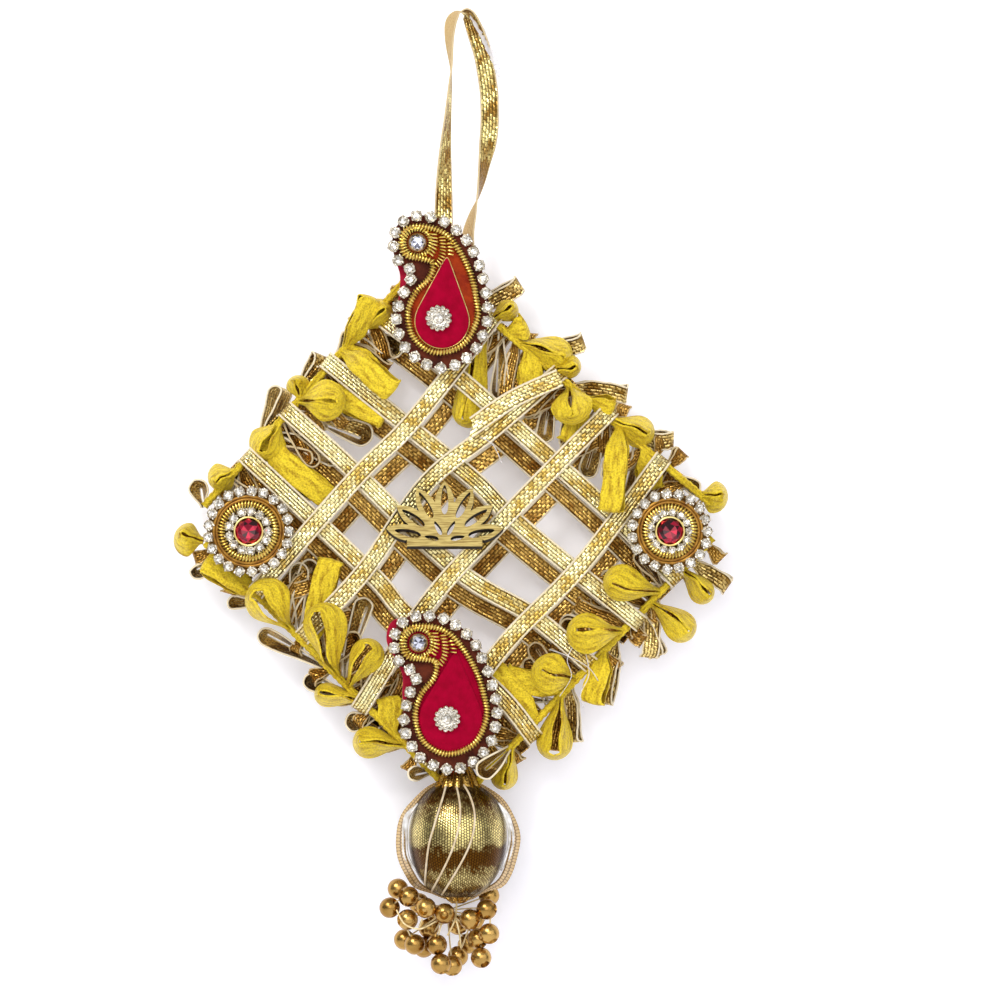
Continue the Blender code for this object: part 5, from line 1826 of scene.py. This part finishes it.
@dataclass
class RibbonBall:
    """A ball wrapped in mesh ribbon, gathered at its poles, with a collar and a gauze hoop."""

    middle: Vector = field(default_factory=lambda: Vector((-1.0, -2.0, -197.3)))
    radius: float = 11.8
    half_height: float = 14.8
    crown: float = 13.3
    seams: tuple[tuple[tuple[float, float], ...], ...] = (
        ((-2.2, 14.7), (-3.6, 9.4), (-5.4, 3.6), (-7.0, -2.6), (-8.0, -12.7)),
        ((-1.0, 14.7), (0.4, 9.4), (0.5, 4.0), (-1.6, -3.4), (-6.4, -13.2)),
        ((-0.2, 14.7), (2.9, 10.2), (4.1, 4.6), (2.4, -2.6), (-3.8, -13.7)),
    )

    def profile(self, share: float) -> Point:
        """Radius and height of the ball's outline; share runs from the lower pole to the upper one."""
        angle = math.pi * (share - 0.5)
        top = self.crown if angle > 0 else self.half_height
        return self.radius * math.cos(angle) ** 0.86 if abs(angle) < math.pi / 2 - 1e-6 else 0.0, top * math.sin(angle)

    def body(self) -> bpy.types.Object:
        """The ball: a sphere shaped to the outline, with gathers that fan from its poles."""
        rows, columns = 48, 96
        bm = bmesh.new()
        uv_layer = bm.loops.layers.uv.new(RIBBON_UV)
        rings = []
        for row in range(1, rows):
            wide, high = self.profile(row / rows)
            pole = 1 - wide / self.radius
            verts = []
            for column in range(columns):
                angle = 2 * math.pi * column / columns
                fold = 0.32 * pole ** 1.5 * math.sin(17 * angle + 0.6 * math.sin(3 * angle))
                fold += 0.09 * math.sin(5 * angle + 2.0 * high / self.half_height)
                place = Vector(((wide + fold) * math.cos(angle), (wide + fold) * math.sin(angle), high))
                verts.append(bm.verts.new((place + self.middle) * MM))
            rings.append(verts)
        for row, (lower, upper) in enumerate(zip(rings, rings[1:])):
            for column in range(columns):
                after = (column + 1) % columns
                face = bm.faces.new((lower[column], lower[after], upper[after], upper[column]))
                for loop, (across, step) in zip(face.loops, ((column, 0), (column + 1, 0), (column + 1, 1), (column, 1))):
                    high = self.profile((row + 1 + step) / rows)[1]
                    loop[uv_layer].uv = (across / columns * 76.0, high * 1.2)
        for verts, sign in ((rings[0], -1), (rings[-1], 1)):
            high = self.profile(0.0 if sign < 0 else 1.0)[1]
            pole = bm.verts.new((self.middle + Vector((0, 0, high))) * MM)
            for column in range(columns):
                corners = (verts[column], verts[(column + 1) % columns], pole)
                face = bm.faces.new(corners if sign > 0 else corners[::-1])
                for loop in face.loops:
                    loop[uv_layer].uv = (column / columns * 76.0, sign * 18.0)
        bmesh.ops.recalc_face_normals(bm, faces=bm.faces[:])
        return object_of("wrapped_ball", bm)

    def on_surface(self, x: float, z: float, lift: float, side: float = -1.0) -> Vector:
        """The place on the ball's surface behind (x, z) of the picture, lifted outwards."""
        top = self.crown if z > 0 else self.half_height
        high = min(max(z / top, -0.999), 0.999)
        wide = self.radius * math.cos(math.asin(high)) ** 0.86 + lift
        x = min(max(x, -wide), wide)
        return self.middle + Vector((x, side * math.sqrt(max(wide * wide - x * x, 0.0)), z))

    def seam_ribbons(self) -> bpy.types.Object:
        """Thin cream edges of the ribbon that wraps the ball, in front and round the back."""
        made = []
        for index, points in enumerate(self.seams):
            for side in (-1.0, 1.0):
                route = smooth_route([Vector(point) for point in points], 9)
                line = [self.on_surface(x, min(z, self.crown - 0.4), 0.22, side) for x, z in route]
                made.append(tube(f"seam_{index}", line, 0.25, False, 1))
        return join(made, "ball_seams")

    def gathers(self, name: str, top: float, bottom: float, wide: float, narrow: float,
                folds: int) -> bpy.types.Object:
        """A gathered frill between two heights.

        Args:
            name: The object's name.
            top: Height of its upper edge.
            bottom: Height of its lower edge.
            wide: Its radius at the widest.
            narrow: Its radius where it is tied.
            folds: Number of folds.

        Returns:
            The mesh object.
        """
        columns, rows, thick = folds * 6, 7, 0.25
        bm = bmesh.new()
        uv_layer = bm.loops.layers.uv.new(RIBBON_UV)
        shells = []
        for inner in (0.0, thick):
            rings = []
            for row in range(rows + 1):
                share = row / rows
                radius = narrow + (wide - narrow) * share ** 0.8 - inner
                verts = []
                for column in range(columns):
                    angle = 2 * math.pi * column / columns
                    fold = 0.07 * radius * math.sin(folds * angle + 0.7 * math.sin(2 * angle))
                    height = top + (bottom - top) * share
                    verts.append(bm.verts.new((self.middle + Vector((
                        (radius + fold) * math.cos(angle), (radius + fold) * math.sin(angle), height))) * MM))
                rings.append(verts)
            shells.append(rings)
        outer, inner = shells
        loops = outer + inner[::-1]
        for first, second in zip(loops, loops[1:] + loops[:1]):
            for column in range(columns):
                after = (column + 1) % columns
                face = bm.faces.new((first[column], first[after], second[after], second[column]))
                for loop in face.loops:
                    height = loop.vert.co.z / MM
                    loop[uv_layer].uv = (column * 0.5, height)
        bmesh.ops.recalc_face_normals(bm, faces=bm.faces[:])
        return object_of(name, bm)

    def hoop(self, near: float, far: float, start: float, stop: float, width: float) -> bmesh.types.BMesh:
        """A ribbon that stands round the ball in the picture plane.

        Args:
            near: How far its front edge stands off the ball.
            far: How far its back edge stands off.
            start: Where it starts, in degrees from straight up.
            stop: Where it stops.
            width: Its width along the line of sight.

        Returns:
            The ribbon's mesh.
        """
        frames = []
        steps = 64
        for step in range(steps + 1):
            angle = math.radians(start + (stop - start) * step / steps)
            out = Vector((math.sin(angle), 0, math.cos(angle)))
            high = self.crown if math.cos(angle) > 0 else self.half_height
            reach = 1 / math.hypot(out.x / self.radius, out.z / high)
            wave = 0.12 * math.sin(9 * angle)
            ease = 0.25 + 0.75 * smooth_step(min(step, steps - step) / 16)
            ease *= 1 - 0.8 * smooth_step((-math.cos(angle) - 0.72) / 0.22)
            first = self.middle + out * (reach + near * ease + wave) + Vector((0, -ease * width / 2, 0))
            second = self.middle + out * (reach + far * ease + wave) + Vector((0, ease * width / 2, 0))
            frames.append(RibbonFrame((first + second) / 2, (second - first) / 2))
        return ribbon_mesh(frames, RibbonCut(width, 0.22, 0.4, 0.5, spans=6))

    def build(self, finishes: Finishes) -> None:
        """Builds and dresses the ball, its collar and its hoop."""
        finish_piece(self.body(), finishes.ball_ribbon, ("ball",))
        finish_piece(self.seam_ribbons(), finishes.cream)
        upper = self.gathers("collar_frill", self.crown + 4.0, self.crown - 1.6, 5.6, 2.6, 11)
        lower = self.gathers("lower_frill", -self.half_height - 1.2, -self.half_height + 2.2, 4.8, 1.4, 9)
        finish_piece(upper, finishes.mesh_ribbon, ("ball_collar",))
        finish_piece(lower, finishes.mesh_ribbon)
        hoop = object_of("gauze_hoop", self.hoop(0.9, 3.1, 20.0, 340.0, 5.6))
        finish_piece(hoop, finishes.gauze, ("ball_hoop",))
        arcs = [object_of("film", self.hoop(0.3, 1.6, start, start + 78.0, 1.0)) for start in (50.0, 232.0)]
        film = join(arcs, "silver_film")
        film.data.transform(Matrix.Translation((0, -2.4 * MM, 0)))
        finish_piece(film, finishes.film)


@dataclass
class BeadBunch:
    """Small holed beads on stiff threads that spread from a knot."""

    knot: Vector = field(default_factory=lambda: Vector((-3.6, 0.5, -215.6)))
    bead_radius: float = 2.5
    strands: tuple = ()
    hidden: tuple = ()
    wires: tuple = ()

    def bead(self) -> bpy.types.Object:
        """One bead with a hole through it along Z, set in the origin."""
        bpy.ops.mesh.primitive_uv_sphere_add(segments=20, ring_count=14, radius=self.bead_radius * MM)
        bead = bpy.context.view_layer.objects.active
        for sign in (1, -1):
            edit_faces(bead, lambda middle, normal, way=sign: way * middle.z > 0.9 * self.bead_radius * MM)
            bpy.ops.mesh.extrude_region_move(TRANSFORM_OT_translate={"value": (0, 0, -sign * 0.8 * MM)})
            bpy.ops.transform.resize(value=(0.8, 0.8, 1.0))
            leave_edit()
        return bead

    def build(self, finishes: Finishes) -> None:
        """Builds and dresses the beads, the threads and the knot."""
        chance = random.Random("beads")
        places, threads = [], []
        for strand in self.strands:
            points = [self.knot + Vector((0, 0, 0.4))]
            for x, depth, z in strand:
                points.append(Vector((x, depth, z)))
            for first, second in zip(points, points[1:]):
                run = (second - first).normalized()
                spin = Vector((0, 0, 1)).rotation_difference(run).to_matrix().to_4x4()
                wobble = Matrix.Rotation(chance.uniform(-0.5, 0.5), 4, "X")
                places.append(Matrix.Translation(second * MM) @ spin @ wobble)
            end = points[-1] + (points[-1] - points[-2]).normalized() * 1.2
            threads.append(tube("thread", smooth_route(points + [end], 5), 0.2, False, 1))
        for place in self.hidden:
            places.append(Matrix.Translation(Vector(place) * MM) @ Matrix.Rotation(chance.uniform(0, 3), 4, "Y"))
            threads.append(tube("thread", [self.knot, Vector(place)], 0.2, False, 1))
        for wire in self.wires:
            threads.append(tube("thread", smooth_route([Vector(place) for place in wire], 8), 0.22, False, 1))
        beads = copies(self.bead(), places, "gold_beads")
        finish_piece(beads, finishes.bead, ("bead_bunch",))
        bpy.ops.mesh.primitive_torus_add(major_radius=1.0 * MM, minor_radius=0.55 * MM, major_segments=20,
                                         minor_segments=8, location=self.knot * MM)
        knot = bpy.context.view_layer.objects.active
        edit_faces(knot, lambda middle, normal: middle.z > self.knot.z * MM)
        bpy.ops.mesh.subdivide(number_cuts=1, fractal=0.0)
        leave_edit()
        threads.append(knot)
        finish_piece(join(threads, "bead_threads"), finishes.thread)


BEAD_STRANDS = (
    ((-12.7, -4.0, -211.6), (-17.3, -3.0, -214.3)),
    ((-15.4, 1.0, -210.0),),
    ((-13.0, -5.0, -217.0), (-11.3, -4.0, -223.0)),
    ((-13.9, 1.0, -222.2),),
    ((-8.6, -8.2, -214.0),),
    ((-4.1, -7.6, -215.4), (-6.0, -5.0, -223.0), (-5.0, -6.5, -227.5)),
    ((-2.4, -2.5, -228.2),),
    ((1.9, -5.6, -216.9), (-1.0, 1.7, -226.3)),
    ((3.8, -2.0, -221.8), (4.6, -4.0, -226.2)),
    ((5.9, -4.8, -214.6), (6.5, -6.0, -220.3)),
    ((6.5, 5.2, -211.9),),
)

HIDDEN_BEADS = (
    (-10.4, 3.0, -213.6), (-8.0, 3.4, -219.6), (-1.0, 3.6, -218.8), (1.4, 4.4, -223.4), (3.0, 3.6, -217.6),
    (-5.6, 4.6, -216.6), (-9.2, 2.6, -224.2),
)
BEAD_WIRES = (
    ((-15.6, -6.4, -214.6), (-13.6, -7.6, -217.9), (-10.0, -8.0, -219.0), (-6.2, -7.0, -217.3)),
    ((-9.4, -8.6, -216.6), (-10.2, -8.2, -218.6)),
    ((-1.2, -3.0, -211.6), (-1.6, -7.2, -216.6), (-3.4, -8.0, -220.6)),
    ((-1.3, -7.2, -217.0), (-0.6, -7.6, -220.0), (-0.2, -6.6, -223.6)),
)


# Glue

@dataclass
class GlueBits:
    """Set clear glue along the hanging loop's joint and where the trimming is fixed."""

    strip: tuple[tuple[float, float, float, float], ...] = (
        (1.7, 0.6, 0.0, 0.5), (3.8, -2.4, -0.5, 1.0), (5.9, -6.6, -0.4, 1.2), (7.4, -10.2, -0.6, 1.0),
        (8.5, -13.2, -0.3, 0.7), (8.8, -15.0, -0.3, 0.3),
    )
    hairs: tuple[tuple[Point3, ...], ...] = (
        ((27.6, -5.2, -150.0), (25.2, -6.6, -154.6), (26.2, -6.2, -158.8), (23.4, -4.6, -163.6)),
        ((21.0, -5.6, -152.4), (25.0, -7.0, -153.8), (30.4, -6.0, -156.8), (33.2, -4.0, -161.0)),
        ((29.6, -4.6, -153.2), (30.4, -6.4, -158.4), (28.4, -6.0, -163.0), (29.2, -4.4, -166.4)),
        ((4.4, -6.0, -101.6), (7.4, -7.4, -103.4), (9.6, -6.8, -107.8)),
        ((8.0, -3.0, -175.6), (10.6, -4.6, -178.6), (9.8, -4.2, -182.4)),
    )

    def build(self, finishes: Finishes) -> None:
        """Builds and dresses the glue."""
        chance = random.Random("glue")
        frames = []
        for x, z, depth, half in smooth_route([Vector(row) for row in self.strip], 7):
            wobble = Vector((chance.uniform(-0.25, 0.25), chance.uniform(-0.2, 0.2), chance.uniform(-0.25, 0.25)))
            frames.append(RibbonFrame(Vector((x, depth, z)) + wobble, Vector((0.8, 0.45, 0.3)) * half))
        strip = object_of("glue_strip", ribbon_mesh(frames, RibbonCut(2.4, 0.2, 0.2, 0.3)))
        parts = [strip]
        for number, points in enumerate(self.hairs):
            parts.append(tube(f"hair_{number}", smooth_route([Vector(point) for point in points], 6), 0.12, False, 0))
        finish_piece(join(parts, "set_glue"), finishes.glue)


# Stage, lights and camera

@dataclass
class Studio:
    """A pale wall behind the hanging, a floor below it, soft lights and the photo's camera."""

    wall_depth: float = 13.5
    floor_level: float = -450.0
    camera_place: tuple[float, float, float] = (9.12, -1500.0, -116.64)
    lens: float = 225.0

    def plane(self, name: str, size: float, place: tuple[float, float, float], upright: bool) -> bpy.types.Object:
        """One flat stage surface."""
        turn = (math.pi / 2, 0, 0) if upright else (0, 0, 0)
        bpy.ops.mesh.primitive_plane_add(size=size * MM, location=[c * MM for c in place], rotation=turn)
        surface = bpy.context.view_layer.objects.active
        surface.name = name
        settle(surface)
        return surface

    def surface_material(self, name: str, colour: Colour, falloff_tone: Colour, one_sided: bool) -> bpy.types.Material:
        """A matt surface with painted light: it runs from a lighter tone at the upper left to a darker painted fall-off
        tone at the lower right, and glows faintly in that tone to lift the shadows on it.

        Args:
            name: The material's name.
            colour: Its tone at the upper left.
            falloff_tone: Its painted fall-off tone at the lower right, also the colour of its faint glow.
            one_sided: Whether it can be looked through from behind.

        Returns:
            The material.
        """
        material = bpy.data.materials.new(name)
        material.use_nodes = True
        tree = material.node_tree
        shader = tree.nodes["Principled BSDF"]
        shader.inputs["Roughness"].default_value = 0.9
        shader.inputs["Specular IOR Level"].default_value = 0.1
        # Painted light: the surface glows faintly in its fall-off tone, which lifts the shadows cast on it.
        shader.inputs["Emission Color"].default_value = (*falloff_tone, 1)
        shader.inputs["Emission Strength"].default_value = 0.22
        # Painted light fall-off: lighter towards the upper left, darker towards the lower right, along x minus z.
        place = tree.nodes.new("ShaderNodeTexCoord")
        axes = tree.nodes.new("ShaderNodeSeparateXYZ")
        tree.links.new(place.outputs["Object"], axes.inputs[0])
        slope = tree.nodes.new("ShaderNodeMath")
        slope.operation = "SUBTRACT"
        tree.links.new(axes.outputs["X"], slope.inputs[0])
        tree.links.new(axes.outputs["Z"], slope.inputs[1])
        span = tree.nodes.new("ShaderNodeMapRange")
        span.inputs["From Min"].default_value = -0.06
        span.inputs["From Max"].default_value = 0.36
        tree.links.new(slope.outputs[0], span.inputs["Value"])
        ramp = tree.nodes.new("ShaderNodeMix")
        ramp.data_type = "RGBA"
        ramp.inputs["A"].default_value = (*colour, 1)
        ramp.inputs["B"].default_value = (*falloff_tone, 1)
        tree.links.new(span.outputs["Result"], ramp.inputs["Factor"])
        tree.links.new(ramp.outputs["Result"], shader.inputs["Base Color"])
        if one_sided:
            behind = tree.nodes.new("ShaderNodeNewGeometry")
            clear = tree.nodes.new("ShaderNodeBsdfTransparent")
            choice = tree.nodes.new("ShaderNodeMixShader")
            tree.links.new(behind.outputs["Backfacing"], choice.inputs["Fac"])
            tree.links.new(shader.outputs[0], choice.inputs[1])
            tree.links.new(clear.outputs[0], choice.inputs[2])
            tree.links.new(choice.outputs[0], tree.nodes["Material Output"].inputs["Surface"])
        return material

    def light(self, name: str, place: tuple[float, float, float], size: float, power: float,
              colour: Colour = (1, 1, 1)) -> None:
        """One soft square light that faces the middle of the hanging.

        Args:
            name: Its name.
            place: Its place.
            size: Its side length.
            power: Its power in watts.
            colour: Its colour.
        """
        data = bpy.data.lights.new(name, "AREA")
        data.size = size * MM
        data.energy = power
        data.color = colour
        lamp = bpy.data.objects.new(name, data)
        bpy.context.scene.collection.objects.link(lamp)
        lamp.location = Vector(place) * MM
        aim = Vector((0, 0, -120)) - Vector(place)
        lamp.rotation_euler = aim.to_track_quat("-Z", "Y").to_euler()

    def build(self) -> None:
        """Builds the stage, the lights and the camera."""
        wall = self.plane("wall", 6000, (0, self.wall_depth, -120), True)
        # The wall's painted light fall-off runs from near white to a lavender grey; wall and floor both glow faintly.
        wall.data.materials.append(self.surface_material("wall", (0.96, 0.96, 0.96), (0.88, 0.87, 0.92), True))
        floor = self.plane("floor", 6000, (0, 0, self.floor_level), False)
        floor.data.materials.append(self.surface_material("floor", (0.8, 0.8, 0.8), (0.78, 0.78, 0.8), False))
        self.light("key", (-420, -700, 520), 420, 5.0)
        self.light("fill", (620, -800, 60), 800, 2.2, (0.97, 0.98, 1.0))
        self.light("front", (0, -1300, 160), 800, 4.4)
        self.light("sparkle", (-160, -520, 160), 60, 0.4)
        world = bpy.data.worlds.new("pale_room")
        world.use_nodes = True
        wire = Wiring(world.node_tree)
        upwards = wire.add("ShaderNodeSeparateXYZ", {0: wire.add("ShaderNodeTexCoord").outputs["Generated"]})
        sky = wire.blend(wire.scale_range(upwards.outputs[2], -0.35, 0.55), (0.05, 0.045, 0.05), (0.95, 0.96, 1.0))
        room = world.node_tree.nodes["Background"]
        world.node_tree.links.new(sky, room.inputs["Color"])
        room.inputs["Strength"].default_value = 0.5
        bpy.context.scene.world = world
        data = bpy.data.cameras.new("camera")
        data.lens = self.lens
        data.sensor_width = 36.0
        data.clip_end = 20.0
        camera = bpy.data.objects.new("camera", data)
        bpy.context.scene.collection.objects.link(camera)
        camera.location = Vector(self.camera_place) * MM
        camera.rotation_euler = (math.pi / 2, 0, 0)
        bpy.context.scene.camera = camera
        bpy.context.scene.view_settings.view_transform = "Standard"


def main() -> None:
    """Loads the frame and builds every sub-assembly in its looks."""
    logging.basicConfig(level=logging.INFO, format="%(message)s")
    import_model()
    finishes = Finishes()
    for side in SIDES:
        side.build(finishes)
    Lattice().build(finishes)
    HangingLoop().build(finishes)
    PaisleyPatch("top_patch", (-5.4, -73.0), 0.0, 1.0, (0.7, -1.0), 6.45, (1.9, 14.7), True,
                 TOP_FELT).build(finishes)
    PaisleyPatch("bottom_patch", (-3.4, -168.5), 5.0, 1.03, (0.7, -0.6), 7.4, (3.2, 15.4), False,
                 BOTTOM_FELT).build(finishes)
    Medallion("left_medallion", (-50.9, -124.1), 11.0).build(finishes)
    Medallion("right_medallion", (49.7, -124.1), 10.3).build(finishes)
    LotusOrnament().build(finishes)
    RibbonBall().build(finishes)
    BeadBunch(strands=BEAD_STRANDS, hidden=HIDDEN_BEADS, wires=BEAD_WIRES).build(finishes)
    GlueBits().build(finishes)
    Studio().build()


if __name__ == "__main__":
    main()
